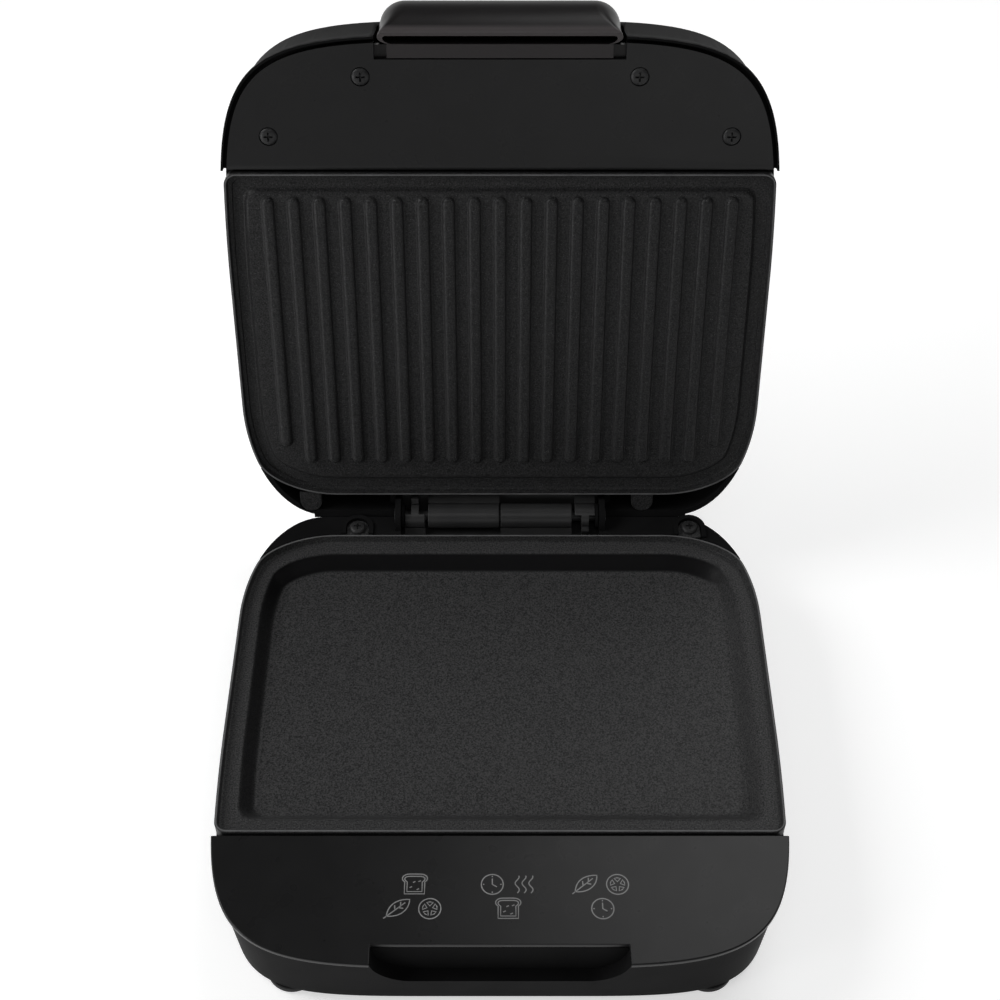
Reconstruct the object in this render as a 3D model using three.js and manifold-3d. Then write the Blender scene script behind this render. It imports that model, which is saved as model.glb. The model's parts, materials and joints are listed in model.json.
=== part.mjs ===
// Sandwich grill with its lid open: two hinged halves, each a housing with a cooking plate.
// Millimetres, +Z up, the front towards -Y. Each half is drawn with the grill closed and the
// hinge axis along X through the origin: the base lies below it and the lid above it.

import * as THREE from 'three';
import { mergeVertices } from 'three/addons/utils/BufferGeometryUtils.js';
import Module from 'manifold-3d';

const wasm = await Module();
wasm.setup();

// Fits
const gap = 0.3;
const overrun = 2;
const headroom = 6;
const partingHalf = 0.5;
const openDegrees = 105.9;
const weld = 0.0001;

// Plan of the housing, measured from the hinge axis
const bodyWidth = 240;
const bodyDepth = 231.2;
const rearCornerWidth = 35;
const rearCornerDepth = 60;
const frontCornerWidth = 86.4;
const frontCornerDepth = 109.9;
const topSideShare = 0.859;
const topFrontShare = 0.938;
const bottomSideShare = 0.96;
const bottomFrontShare = 0.945;
const rearSteps = 6;
const frontSteps = 11;

// Places across the body, as shares of half its width
const lugShares = [0.5717, 0.7608];
const plateFlatShare = 0.65;
const outerScrewShare = 0.8158;
const fuseShare = 0.35;
const bottomScrewShares = [0.8333, 0.7667];
const footShare = 0.71667;
const glandShare = 0.5833;

// Places along the plates, as shares of their front edge's distance from the hinge
const thermostatShare = 0.5415;
const shieldPostShares = [0.3802, 0.7028];
const fuseDepthShare = 0.4032;
const ventShare = 0.7258;

// Housings
const wall = 2.5;
const baseHeight = 42;
const baseSideTaper = 3.5;
const baseFrontTaper = 4.9;
const baseRearTaper = 3;
const bottomRound = 1.5;
const lidHeight = 40.5;
const lidWallHeight = 30;
const lidTaper = 1.1;
const lidRound = 10.5;
const lidCrown = 1.2;
const lidRoundShares = [0.45, 0.82, 1];
const lidCrownShares = [0.6];
const lidHollowShares = [0.5, 1];
const webThickness = 0.6;

// Front covers of the two halves
const coverDepth = 56.5;
const coverOverhang = 1.2;
const coverThickness = 2.5;
const coverDrop = 0.3;
const coverEdge = 0.6;
const panelInset = 2.5;
const panelBevelWidth = 2.4;
const panelBevelDrop = 0.9;

// Finger scoop at the front of the base
const scoopHalf = 51.1;
const scoopFloorHalf = 36;
const scoopDepth = 8.7;
const scoopDrop = 21;
const scoopSteps = 6;

// Cooking plates
const rearDeckDepth = 11.5;
const plateFrontGap = 1.1;
const plateSideInset = 1.2;
const plateCornerRadius = 5.5;
const lipWidth = 1.2;
const lipHeight = 3.8;
const ledgeWidth = 7.3;
const flangeThickness = 2.5;
const panDepth = 11.5;
const panSlope = 5;
const plateWall = 3;
const plateSideShare = 0.5;
const blendStartShare = 0.49;
const blendEndShare = 0.51;
const blendDegrees = 31;

// Raised ribs of the upper plate
const fieldRaise = 2;
const fieldMargin = 0.7;
const ribCount = 19;
const ribWidth = 5.4;
const ribCrest = 3.4;
const ribLift = 2.2;
const ribEdge = 0.5;
const ribRear = 29;
const ribFrontInset = 11.2;
const ribSideInset = 19.2;
const outerRibRear = 38.2;
const ribEndSteps = 2;

// Lugs that hold the plates at the back
const lugRadius = 5.2;
const lugCentre = 7.2;
const lugThickness = 3;
const lugDrop = 0.8;
const collarWall = 2.1;
const collarRise = 1.2;
const bossDepth = 20;

// Hinge
const pinRadius = 2.5;
const barrelRadius = 6.05;
const barrelLength = 34.4;
const barrelGap = 0.6;
const barrelSides = 16;
const hingeScrewShares = [0.25, 0.75];
const knuckleGap = 1.4;
const knuckleLength = 9.8;
const fingerWidth = 3.4;
const strapInner = 6.5;
const strapOuter = 9.1;
const strapFront = 9.4;
const earRadius = 9;
const earThickness = 2.7;
const earGap = 1.8;
const earSides = 24;
const pinEnd = 0.6;
const hingeScrewDepth = 6.5;
const hingeHeadRadius = 2.8;

// Screws
const screwHeadRadius = 3.75;
const screwHeadHeight = 2;
const screwSeatShare = 0.75;
const screwShankRadius = 1.5;
const screwHoleRadius = 1.85;
const screwLength = 10;
const shortScrewLength = 5;
const screwBite = 7.5;
const postBoreDepth = 6.5;
const postRadius = 4;
const sides = 12;
const hiddenSides = 8;

// Handle of the lid
const handleHalf = 50.4;
const handleFootInset = 3.8;
const handleNotchGap = 1.6;
const handleFlangeReach = 13.6;
const handleCorner = 11;
const handleSteps = 6;
const handleNotchDepth = 9.7;
const handleFlangeDepth = 14;
const handleFlangeThickness = 2.2;
const handleHeight = 23.8;
const handleLip = 2.1;
const handleReach = 9.8;
const handleMouth = 3.7;
const handleBackWall = 2.3;
const handleSkin = 2.2;
// Pairs of height share and reach share, of the cup's outside and of its hollow
const handleOuterShares = [
  [0, 0], [0.06, 0.12], [0.2, 0.5], [0.4, 0.8], [0.62, 0.97], [0.8, 1], [0.91, 0.84], [0.98, 0.5], [1, 0.3]];
const handleHollowShares = [[0, 0], [0.1, 0.05], [0.3, 0.5], [0.6, 0.85], [0.75, 0.8], [0.8, 0.5]];

// The lid's panel screws: the inner ones' distance from the handle's notch, and all from the front
const innerScrewReach = 5.9;
const panelScrewSetbacks = [15.7, 41.3];

// Heating
const heaterRadius = 3.2;
const heaterRearHalf = 15;
const heaterSideInset = 44;
const heaterRear = 46;
const heaterFrontInset = 31.6;
const heaterTerminal = 24;
const heaterBend = 20;
const heaterSteps = 32;
const heaterSides = 6;
const heaterPinRadius = 1.4;
const heaterPinLength = 9;
const shieldSideInset = 28;
const shieldRear = 34;
const shieldFrontInset = 19.6;
const shieldCorner = 18;
const shieldThickness = 0.8;
const shieldRim = 5;
const shieldRimSlope = 0.8;
const shieldPostRadius = 4.5;
const thermostatRadius = 8;
const thermostatHeight = 9;
const thermostatCapRadius = 9.5;
const thermostatCapHeight = 1.6;
const thermostatGap = 1.2;
const bladeWidth = 5;
const bladeLength = 8;
const fuseRadius = 2.4;
const fuseLength = 18;
const fuseLeadRadius = 0.8;
const fuseLeadLength = 36;

// Bottom of the base
const bottomThickness = 2.2;
const ventCount = 9;
const ventPitch = 9;
const ventWidth = 3;
const ventLength = 34;
const bottomScrewRear = 36;
const bottomScrewSetback = 35.2;
const bottomScrewRecess = 1.2;
const footRadius = 11;
const footHeight = 4;
const footDraft = 1;
const footPlugRadius = 3;
const footSetback = 19.6;
const footRear = 19;
const terminalLength = 36;
const terminalDepth = 14;
const terminalHeight = 10;
const terminalRear = 16;
const terminalBores = 3;
const terminalBoreRadius = 2.2;
const terminalBoreRise = 3.3;
const glandZ = 27;
const glandBore = 3.2;
const glandNeck = 4.8;
const glandFlange = 7.5;
const glandFlangeThickness = 2;
const glandEdge = 0.5;

// Indicator lamps on the outside of the lid
const lampX = 9;
const lampSetback = 35.2;
const lampRadius = 3.5;
const lampEdge = 0.7;
const lampRise = 1.3;
const lampStem = 2.6;
const lampStemLength = 6;

// Places worked out from the sizes above
const half = bodyWidth / 2;
const coverRear = bodyDepth - coverDepth;
const plateFront = coverRear - plateFrontGap;
const lipTop = partingHalf;
const ledgeTop = lipTop + lipHeight;
const flangeUnder = ledgeTop + flangeThickness;
const wallTop = flangeUnder + gap;
const panFloor = lipTop + panDepth;
const plateBelly = panFloor + plateWall;
const coverTop = lipTop + coverDrop;
const coverUnder = coverTop + coverThickness;
const shelf = coverUnder + gap;
const fieldTop = ledgeTop - fieldRaise;
const slopeInset = lipWidth + ledgeWidth + panSlope;
const deckEdge = rearDeckDepth - gap;
const lugTop = lipTop + lugDrop;
const lugUnder = lugTop + lugThickness;
const pocketFloor = strapOuter + gap;
const barrelEnd = barrelGap / 2 + barrelLength;
const knuckleStart = barrelEnd + knuckleGap;
const knuckleEnd = knuckleStart + knuckleLength;
const earInner = knuckleEnd + earGap;
const pinHalf = earInner + earThickness + pinEnd;
const handleNotchHalf = handleHalf + handleNotchGap;
const bottomInset = wall + gap;
const bottomTop = baseHeight - bottomThickness;
const hingeHeight = baseHeight + gap + footHeight;
const openAngle = THREE.MathUtils.degToRad(openDegrees);

// Materials
function finish(color, roughness, metalness) {
  return new THREE.MeshStandardMaterial({ color, roughness, metalness });
}
const blackPlastic = finish('#1d1d1f', 0.5, 0);
const coverPlastic = finish('#202022', 0.42, 0);
const handlePlastic = finish('#2a2728', 0.45, 0);
const coating = finish('#27272a', 0.55, 0.3);
const steel = finish('#9a9a9c', 0.35, 1);
const aluminium = finish('#b4b6b8', 0.4, 1);
const darkSteel = finish('#5b5a58', 0.5, 1);
const rubber = finish('#161616', 0.9, 0);
const ceramic = finish('#d8d2c4', 0.6, 0);
const redLens = finish('#8e1410', 0.25, 0);
const greenLens = finish('#1c6b2a', 0.25, 0);

// Solids: a geometry becomes a closed solid, and a solid becomes a named mesh
function solid(geometry) {
  const bare = geometry.clone();
  bare.deleteAttribute('normal');
  bare.deleteAttribute('uv');
  const merged = mergeVertices(bare, weld);
  const vertProperties = new Float32Array(merged.attributes.position.array);
  const triVerts = new Uint32Array(merged.index.array);
  return new wasm.Manifold(new wasm.Mesh({ numProp: 3, vertProperties, triVerts }));
}

function joined(parts) {
  return parts.reduce((whole, next) => whole.add(next));
}

function cut(whole, tools) {
  return tools.reduce((rest, tool) => rest.subtract(tool), whole);
}

function addPiece(group, name, body, material) {
  const { vertProperties, triVerts } = body.getMesh();
  const geometry = new THREE.BufferGeometry();
  geometry.setAttribute('position', new THREE.BufferAttribute(new Float32Array(vertProperties), 3));
  geometry.setIndex(new THREE.BufferAttribute(new Uint32Array(triVerts), 1));
  geometry.computeVertexNormals();
  const mesh = new THREE.Mesh(geometry, material);
  mesh.name = name;
  group.add(mesh);
  return mesh;
}

function box(x0, x1, y0, y1, z0, z1) {
  const geometry = new THREE.BoxGeometry(x1 - x0, y1 - y0, z1 - z0);
  geometry.translate((x0 + x1) / 2, (y0 + y1) / 2, (z0 + z1) / 2);
  return solid(geometry);
}

function cylinder(x, y, z0, z1, radius, facets = sides) {
  const geometry = new THREE.CylinderGeometry(radius, radius, z1 - z0, facets);
  geometry.rotateX(Math.PI / 2);
  geometry.translate(x, y, (z0 + z1) / 2);
  return solid(geometry);
}

// A rod along X through the hinge axis
function axle(x0, x1, radius, facets = barrelSides) {
  const geometry = new THREE.CylinderGeometry(radius, radius, x1 - x0, facets);
  geometry.rotateZ(Math.PI / 2);
  geometry.translate((x0 + x1) / 2, 0, 0);
  return solid(geometry);
}

// A revolved profile of [radius, height] pairs about a vertical axis
function revolved(profile, facets = sides) {
  const points = profile.map(([r, z]) => new THREE.Vector2(r, z));
  const geometry = new THREE.LatheGeometry([...points, points[0].clone()], facets);
  geometry.rotateX(Math.PI / 2);
  return solid(geometry);
}

function prism(shape, depth) {
  return solid(new THREE.ExtrudeGeometry(shape, { depth, bevelEnabled: false }));
}

function moved(body, x, y, z) {
  return body.translate([x, y, z]);
}

// The lid's pieces are drawn like the base's, below the parting plane, and then turned over
function turnedOver(body) {
  return body.mirror([0, 0, 1]);
}

// A loft through rings of equal count, each { points, z }, with z rising
function capFaces(points) {
  const faces = THREE.ShapeUtils.triangulateShape(points, []);
  const [a, b, c] = faces[0].map((index) => points[index]);
  const turn = (b.x - a.x) * (c.y - a.y) - (b.y - a.y) * (c.x - a.x);
  return turn > 0 ? faces : faces.map(([i, j, k]) => [k, j, i]);
}

function loft(rings) {
  const clockwise = THREE.ShapeUtils.isClockWise(rings[0].points);
  const levels = rings.map(({ points, z }) => ({ z, points: clockwise ? [...points].reverse() : points }));
  const count = levels[0].points.length;
  const positions = levels.flatMap(({ points, z }) => points.flatMap((p) => [p.x, p.y, z]));
  const indices = [];
  for (let level = 0; level + 1 < levels.length; level += 1) {
    for (let i = 0; i < count; i += 1) {
      const here = level * count + i;
      const next = level * count + ((i + 1) % count);
      indices.push(here, next, next + count);
      indices.push(here, next + count, here + count);
    }
  }
  const last = (levels.length - 1) * count;
  capFaces(levels[0].points).forEach(([i, j, k]) => indices.push(k, j, i));
  const top = capFaces(levels[levels.length - 1].points);
  top.forEach(([i, j, k]) => indices.push(last + i, last + j, last + k));
  const geometry = new THREE.BufferGeometry();
  geometry.setAttribute('position', new THREE.Float32BufferAttribute(positions, 3));
  geometry.setIndex(indices);
  return solid(geometry);
}

// Outlines
function mirrored(right) {
  const left = right.map((p) => new THREE.Vector2(-p.x, p.y)).reverse();
  return [...right, ...left];
}

function housingPlan(sideInset, frontInset, rearInset, sideShare, frontShare) {
  const reach = half - sideInset;
  const rear = -rearInset;
  const front = -bodyDepth + frontInset;
  const rearX = half - rearCornerWidth;
  const frontX = half - frontCornerWidth;
  const frontY = frontCornerDepth - bodyDepth;
  const back = new THREE.EllipseCurve(
    rearX, -rearCornerDepth, reach - rearX, rear + rearCornerDepth, Math.PI / 2, 0, true);
  const nose = new THREE.CubicBezierCurve(
    new THREE.Vector2(reach, frontY),
    new THREE.Vector2(reach, frontY - sideShare * (frontY - front)),
    new THREE.Vector2(frontX + frontShare * (reach - frontX), front),
    new THREE.Vector2(frontX, front));
  return mirrored([...back.getPoints(rearSteps), ...nose.getPoints(frontSteps)]);
}

function evenPlan(inset) {
  return housingPlan(inset, inset, inset, topSideShare, topFrontShare);
}

function platePlan(inset, cornerRadius) {
  const rearX = half - rearCornerWidth;
  const reach = half - inset;
  const rear = -rearDeckDepth - inset;
  const front = -plateFront + inset;
  const sideX = half - plateSideInset - inset;
  const frontY = frontCornerDepth - bodyDepth;
  const blend = THREE.MathUtils.degToRad(blendDegrees);
  const back = new THREE.EllipseCurve(
    rearX, -rearCornerDepth, reach - rearX, rearCornerDepth - inset, blend, 0, true);
  const start = new THREE.Vector2(half * plateFlatShare, rear);
  const end = back.getPoint(0);
  const slope = back.getTangent(0).negate();
  const turn = new THREE.CubicBezierCurve(
    start,
    new THREE.Vector2(start.x + blendStartShare * (end.x - start.x), rear),
    end.clone().addScaledVector(slope, blendEndShare * (rear - end.y)),
    end);
  const side = new THREE.QuadraticBezierCurve(
    new THREE.Vector2(reach, frontY),
    new THREE.Vector2(reach, frontY + plateSideShare * (front + cornerRadius - frontY)),
    new THREE.Vector2(sideX, front + cornerRadius));
  const corner = new THREE.EllipseCurve(
    sideX - cornerRadius, front + cornerRadius, cornerRadius, cornerRadius, 0, -Math.PI / 2, true);
  return mirrored([
    ...turn.getPoints(5), ...back.getPoints(5).slice(1),
    ...side.getPoints(3), ...corner.getPoints(4).slice(1)]);
}

function lugShape(x, radius, reach) {
  const shape = new THREE.Shape();
  shape.moveTo(x - radius, -reach);
  shape.lineTo(x + radius, -reach);
  shape.lineTo(x + radius, -lugCentre);
  shape.absarc(x, -lugCentre, radius, 0, Math.PI, false);
  return shape;
}

// A pan head screw with its head up, the underside of the head at z = 0
function screw(length, headRadius, facets) {
  return revolved([
    [0, -length], [screwShankRadius, -length], [screwShankRadius, 0], [headRadius, 0],
    [headRadius, screwHeadHeight / 2], [headRadius / 2, screwHeadHeight], [0, screwHeadHeight]], facets);
}

// Housing of the base: tapered wall, rear deck with lug pockets, hinge ears and finger scoop
function baseRings(inset, extra) {
  const bottom = (share) => housingPlan(
    baseSideTaper + inset + share, baseFrontTaper + inset + share, baseRearTaper + inset + share,
    bottomSideShare, bottomFrontShare);
  return [
    { z: -baseHeight - extra, points: bottom(bottomRound) },
    { z: -baseHeight + bottomRound, points: bottom(0) },
    { z: -coverTop - wall, points: evenPlan(inset) }];
}

function scoopShape(grow) {
  const shape = new THREE.Shape();
  const top = headroom;
  const floor = -scoopDrop - coverTop - grow;
  const side = scoopHalf + grow;
  const flat = scoopFloorHalf + grow;
  const shoulder = -coverUnder;
  shape.moveTo(-side, top);
  shape.lineTo(-side, shoulder);
  shape.bezierCurveTo(-side, (shoulder + floor) / 2, -(side + flat) / 2, floor, -flat, floor);
  shape.lineTo(flat, floor);
  shape.bezierCurveTo((side + flat) / 2, floor, side, (shoulder + floor) / 2, side, shoulder);
  shape.lineTo(side, top);
  return shape;
}

function scoop(grow) {
  const geometry = new THREE.ExtrudeGeometry(scoopShape(grow), {
    depth: scoopDepth + grow + headroom, bevelEnabled: false, curveSegments: scoopSteps });
  geometry.rotateX(Math.PI / 2);
  const back = -bodyDepth - coverOverhang + coverDrop + scoopDepth + grow;
  geometry.translate(0, back, 0);
  return solid(geometry);
}

function lugPlaces(sign) {
  return lugShares.map((share, index) => (index === 0 ? -1 : 1) * sign * half * share);
}

// Room for a plate: its outline at the rear, and the full width further forward
function plateWell() {
  const points = platePlan(-gap, plateCornerRadius);
  const rear = loft([{ z: -wallTop, points }, { z: headroom, points }]);
  return rear.add(box(-bodyWidth, bodyWidth, -coverRear, -rearCornerDepth, -wallTop, headroom));
}

function frontPartition(depth) {
  return box(-half, half, -coverRear - wall, -coverRear, -depth, -shelf);
}

function hingeEars() {
  return [-1, 1].map((side) => {
    const inside = side * earInner;
    const outside = side * (earInner + earThickness);
    return axle(Math.min(inside, outside), Math.max(inside, outside), earRadius, earSides);
  });
}

function pinBore() {
  return axle(-pinHalf - gap, pinHalf + gap, pinRadius + gap);
}

// Raised collars round the lug pockets, and the pockets themselves
function lugCollars() {
  return lugPlaces(1).map((x) => {
    const shape = lugShape(x, lugRadius + gap + collarWall, rearDeckDepth + overrun);
    return moved(prism(shape, bossDepth + collarRise), 0, 0, -coverTop - bossDepth);
  });
}

function lugPockets(sign) {
  return lugPlaces(sign).map((x) => {
    const shape = lugShape(x, lugRadius + gap, rearDeckDepth + ledgeWidth);
    return moved(prism(shape, bossDepth), 0, 0, -lugUnder - gap);
  });
}

function baseShell() {
  const outer = loft([...baseRings(0, 0), { z: -coverTop, points: evenPlan(0) }]);
  const inner = loft(baseRings(wall, overrun));
  const coverSeat = box(-bodyWidth, bodyWidth, -bodyDepth - overrun, -coverRear + overrun, -shelf, headroom);
  const ring = cut(joined([cut(outer, [inner]), ...lugCollars()]), [plateWell(), coverSeat]);
  const partition = frontPartition(bossDepth + wall).intersect(outer);
  const scoopCut = box(-half, half, -bodyDepth - overrun, 0, -shelf, headroom + overrun);
  const scoopWalls = cut(scoop(wall).intersect(outer), [scoopCut]);
  const earOuter = earInner + earThickness;
  const block = box(-earOuter, earOuter, -deckEdge, 0, -pocketFloor - wall, -coverTop);
  const pocket = box(-earInner, earInner, -deckEdge - overrun, strapFront, -pocketFloor, headroom);
  const posts = bottomPosts().map(([x, y]) => bottomPost(x, y));
  const body = joined([ring, partition, scoopWalls, block, ...hingeEars(), ...posts]);
  return cut(body, [
    scoop(0), pocket, ...lugPockets(1), ...lugBores(), ...postBores(), glandHole(), pinBore(),
    ...hingeScrewHoles(1, pocketFloor + wall)]);
}

function lugBores() {
  return lugPlaces(1).map((x) => {
    return cylinder(x, -lugCentre, -coverTop - bossDepth + wall, 0, screwHoleRadius, hiddenSides);
  });
}

function bottomPosts() {
  const depths = [bottomScrewRear, bodyDepth - bottomScrewSetback];
  return bottomScrewShares.flatMap((share, index) => {
    return [[-half * share, -depths[index]], [half * share, -depths[index]]];
  });
}

function postBores() {
  return bottomPosts().map(([x, y]) => {
    return cylinder(x, y, -bottomTop - overrun, -bottomTop + screwLength, screwHoleRadius, hiddenSides);
  });
}

// A screw post of the base, carried by a web to the side wall
function bottomPost(x, y) {
  const top = -plateBelly - gap;
  const post = cylinder(x, y, -bottomTop + gap, top, postRadius, hiddenSides);
  const side = Math.sign(x);
  const inner = side * (half - baseSideTaper);
  const [x0, x1] = [Math.min(x, inner), Math.max(x, inner)];
  const web = box(x0, x1, y - wall / 2, y + wall / 2, -bottomTop + wall, top);
  const limit = loft([...baseRings(wall / 2, 0), { z: -coverTop, points: evenPlan(wall / 2) }]);
  return joined([post, web]).intersect(limit);
}

function rearWallSlope() {
  return Math.atan(baseRearTaper / (baseHeight - bottomRound - coverTop - wall));
}

// Sets a body drawn about a vertical axis into the rear wall of the base, square to the wall
function intoRearWall(body) {
  const slope = rearWallSlope();
  const inset = (glandZ - coverTop - wall) * Math.tan(slope);
  const turned = body.rotate([-90 - THREE.MathUtils.radToDeg(slope), 0, 0]);
  return moved(turned, half * glandShare, -inset, -glandZ);
}

function glandHole() {
  return intoRearWall(cylinder(0, 0, -headroom, headroom, glandNeck + gap));
}

// Front cover of the base: a flat deck that overhangs the wall and is open at the scoop
function baseFrontCover() {
  const rings = [
    { z: -coverUnder, points: evenPlan(-coverOverhang + coverEdge) },
    { z: -coverUnder + coverEdge, points: evenPlan(-coverOverhang) },
    { z: -coverTop - coverEdge, points: evenPlan(-coverOverhang) },
    { z: -coverTop, points: evenPlan(-coverOverhang + coverEdge) }];
  const behind = box(-bodyWidth, bodyWidth, -coverRear - gap, bodyDepth, -bodyDepth, bodyDepth);
  return cut(loft(rings), [behind, scoop(0)]);
}

// Lugs at the rear of a plate, drawn for the base
function plateLugs(sign) {
  const places = lugPlaces(sign);
  const tabs = places.map((x) => {
    const shape = lugShape(x, lugRadius, rearDeckDepth + ledgeWidth);
    return moved(prism(shape, lugThickness), 0, 0, -lugUnder);
  });
  return joined(tabs);
}

function lugDrills(sign) {
  return lugPlaces(sign).map((x) => cylinder(x, -lugCentre, -flangeUnder - overrun, 0, screwHoleRadius));
}

function shieldPosts() {
  return shieldPostShares.map((share) => plateFront * share);
}

function shieldPostSolids(top, bottom) {
  return shieldPosts().map((y) => cylinder(0, -y, bottom, top, shieldPostRadius));
}

function shieldPostBores(bottom) {
  return shieldPosts().map((y) => {
    return cylinder(0, -y, bottom - overrun, bottom + postBoreDepth, screwHoleRadius, hiddenSides);
  });
}

// Lower plate: a pan with a thin lip, a ledge, a sloped wall and a flat floor
function lowerPlate() {
  const outer = loft([
    { z: -plateBelly, points: platePlan(slopeInset - plateWall / 2, plateCornerRadius) },
    { z: -flangeUnder, points: platePlan(lipWidth + ledgeWidth - plateWall, plateCornerRadius) },
    { z: -flangeUnder, points: platePlan(0, plateCornerRadius) },
    { z: -lipTop, points: platePlan(0, plateCornerRadius) }]);
  const pan = loft([
    { z: -panFloor, points: platePlan(slopeInset, plateCornerRadius) },
    { z: -ledgeTop, points: platePlan(lipWidth + ledgeWidth, plateCornerRadius + lipWidth) },
    { z: -ledgeTop, points: platePlan(lipWidth, plateCornerRadius - lipWidth) },
    { z: headroom, points: platePlan(lipWidth, plateCornerRadius - lipWidth) }]);
  const floor = -plateBelly - shieldStand();
  const posts = shieldPostSolids(-plateBelly + plateWall / 2, floor);
  const tabs = cut(plateLugs(1), [pan]);
  return cut(joined([cut(outer, [pan]), tabs, ...posts]), [...lugDrills(1), ...shieldPostBores(floor)]);
}

function shieldStand() {
  return 2 * heaterRadius + 2 * gap + shieldThickness;
}

// Upper plate, drawn turned over: a lip and ledge round a raised field with ribs
function ribBar(x, rear) {
  const ring = (width, z) => {
    const radius = width / 2;
    const near = -plateFront + ribFrontInset + ribWidth / 2;
    const front = new THREE.EllipseCurve(x, near, radius, radius, Math.PI, 2 * Math.PI);
    const back = new THREE.EllipseCurve(x, -rear - ribWidth / 2, radius, radius, 0, Math.PI);
    return { z, points: [...front.getPoints(ribEndSteps), ...back.getPoints(ribEndSteps)] };
  };
  return loft([
    ring(ribWidth, -fieldTop - ribEdge), ring(ribWidth, -fieldTop + ribEdge),
    ring(ribCrest, -fieldTop + ribLift)]);
}

function upperPlate() {
  const outer = loft([
    { z: -flangeUnder, points: platePlan(0, plateCornerRadius) },
    { z: -lipTop, points: platePlan(0, plateCornerRadius) }]);
  const well = loft([
    { z: -ledgeTop, points: platePlan(lipWidth, plateCornerRadius - lipWidth) },
    { z: headroom, points: platePlan(lipWidth, plateCornerRadius - lipWidth) }]);
  const fieldEdge = platePlan(lipWidth + ledgeWidth - fieldMargin, plateCornerRadius);
  const field = loft([
    { z: -ledgeTop - flangeThickness / 2, points: fieldEdge },
    { z: -ledgeTop, points: fieldEdge },
    { z: -fieldTop, points: platePlan(lipWidth + ledgeWidth + fieldMargin, plateCornerRadius) }]);
  const ribs = Array.from({ length: ribCount }, (unused, index) => {
    const placeShare = index * 2 / (ribCount - 1) - 1;
    const outermost = index === 0 || index === ribCount - 1;
    return ribBar((half - ribSideInset) * placeShare, outermost ? outerRibRear : ribRear);
  });
  const floor = -flangeUnder - shieldStand();
  const posts = shieldPostSolids(-flangeUnder + flangeThickness / 2, floor);
  const tabs = cut(plateLugs(-1), [well]);
  const body = joined([cut(outer, [well]), field, ...ribs, tabs, ...posts]);
  return turnedOver(cut(body, [...lugDrills(-1), ...shieldPostBores(floor)]));
}

// Tubular heater under a plate: one open loop with two pins at the back
function heater(belly) {
  const z = -belly - gap - heaterRadius;
  const near = heaterRearHalf;
  const far = half - heaterSideInset;
  const front = plateFront - heaterFrontInset;
  const corners = [
    [-near, -heaterTerminal], [-near, -heaterRear], [-far, -heaterRear], [-far, -front],
    [far, -front], [far, -heaterRear], [near, -heaterRear], [near, -heaterTerminal]];
  const spots = corners.map(([x, y]) => new THREE.Vector3(x, y, z));
  const path = new THREE.CurvePath();
  let from = spots[0];
  for (let i = 1; i + 1 < spots.length; i += 1) {
    const legIn = spots[i].distanceTo(spots[i - 1]);
    const legOut = spots[i].distanceTo(spots[i + 1]);
    const bend = Math.min(heaterBend, legIn / 2, legOut / 2);
    const entry = spots[i].clone().lerp(spots[i - 1], bend / legIn);
    const exit = spots[i].clone().lerp(spots[i + 1], bend / legOut);
    if (from.distanceTo(entry) > gap) path.add(new THREE.LineCurve3(from, entry));
    path.add(new THREE.QuadraticBezierCurve3(entry, spots[i], exit));
    from = exit;
  }
  path.add(new THREE.LineCurve3(from, spots[spots.length - 1]));
  const section = new THREE.Shape();
  section.absarc(0, 0, heaterRadius, 0, 2 * Math.PI, false);
  const tube = new THREE.ExtrudeGeometry(section, {
    steps: heaterSteps, curveSegments: heaterSides / 2, bevelEnabled: false, extrudePath: path });
  const pins = [-1, 1].map((side) => {
    const geometry = new THREE.CylinderGeometry(
      heaterPinRadius, heaterPinRadius, heaterPinLength + overrun, heaterSides);
    geometry.translate(side * near, -heaterTerminal + (heaterPinLength - overrun) / 2, z);
    return solid(geometry);
  });
  return joined([solid(tube), ...pins]);
}

// Heat shield: a shallow tray with a turned rim and a clearance hole for the thermostat
function shieldPlan(inset) {
  const reach = half - shieldSideInset - inset;
  const corner = shieldCorner - inset;
  const rear = new THREE.EllipseCurve(
    reach - corner, -shieldRear - inset - corner, corner, corner, Math.PI / 2, 0, true);
  const front = new THREE.EllipseCurve(
    reach - corner, -plateFront + shieldFrontInset + inset + corner, corner, corner, 0, -Math.PI / 2, true);
  return mirrored([...rear.getPoints(4), ...front.getPoints(4)]);
}

function shieldTop(belly) {
  return -belly - shieldStand() - gap;
}

function heatShield(belly) {
  const top = shieldTop(belly);
  const tray = loft([
    { z: top - shieldRim, points: shieldPlan(0) }, { z: top, points: shieldPlan(shieldRimSlope) }]);
  const hollow = loft([
    { z: top - shieldRim - overrun, points: shieldPlan(shieldThickness) },
    { z: top - shieldThickness, points: shieldPlan(shieldThickness + shieldRimSlope) }]);
  const windowRadius = thermostatCapRadius + thermostatGap;
  const window = cylinder(0, -plateFront * thermostatShare, top - overrun, top + overrun, windowRadius);
  const holes = shieldPosts().map((y) => {
    return cylinder(0, -y, top - overrun, top + overrun, screwHoleRadius, hiddenSides);
  });
  return cut(tray, [hollow, window, ...holes]);
}

function shieldScrew(belly, y) {
  const body = screw(shortScrewLength, screwHeadRadius, hiddenSides).mirror([0, 0, 1]);
  return moved(body, 0, -y, shieldTop(belly) - shieldThickness - gap);
}

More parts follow.
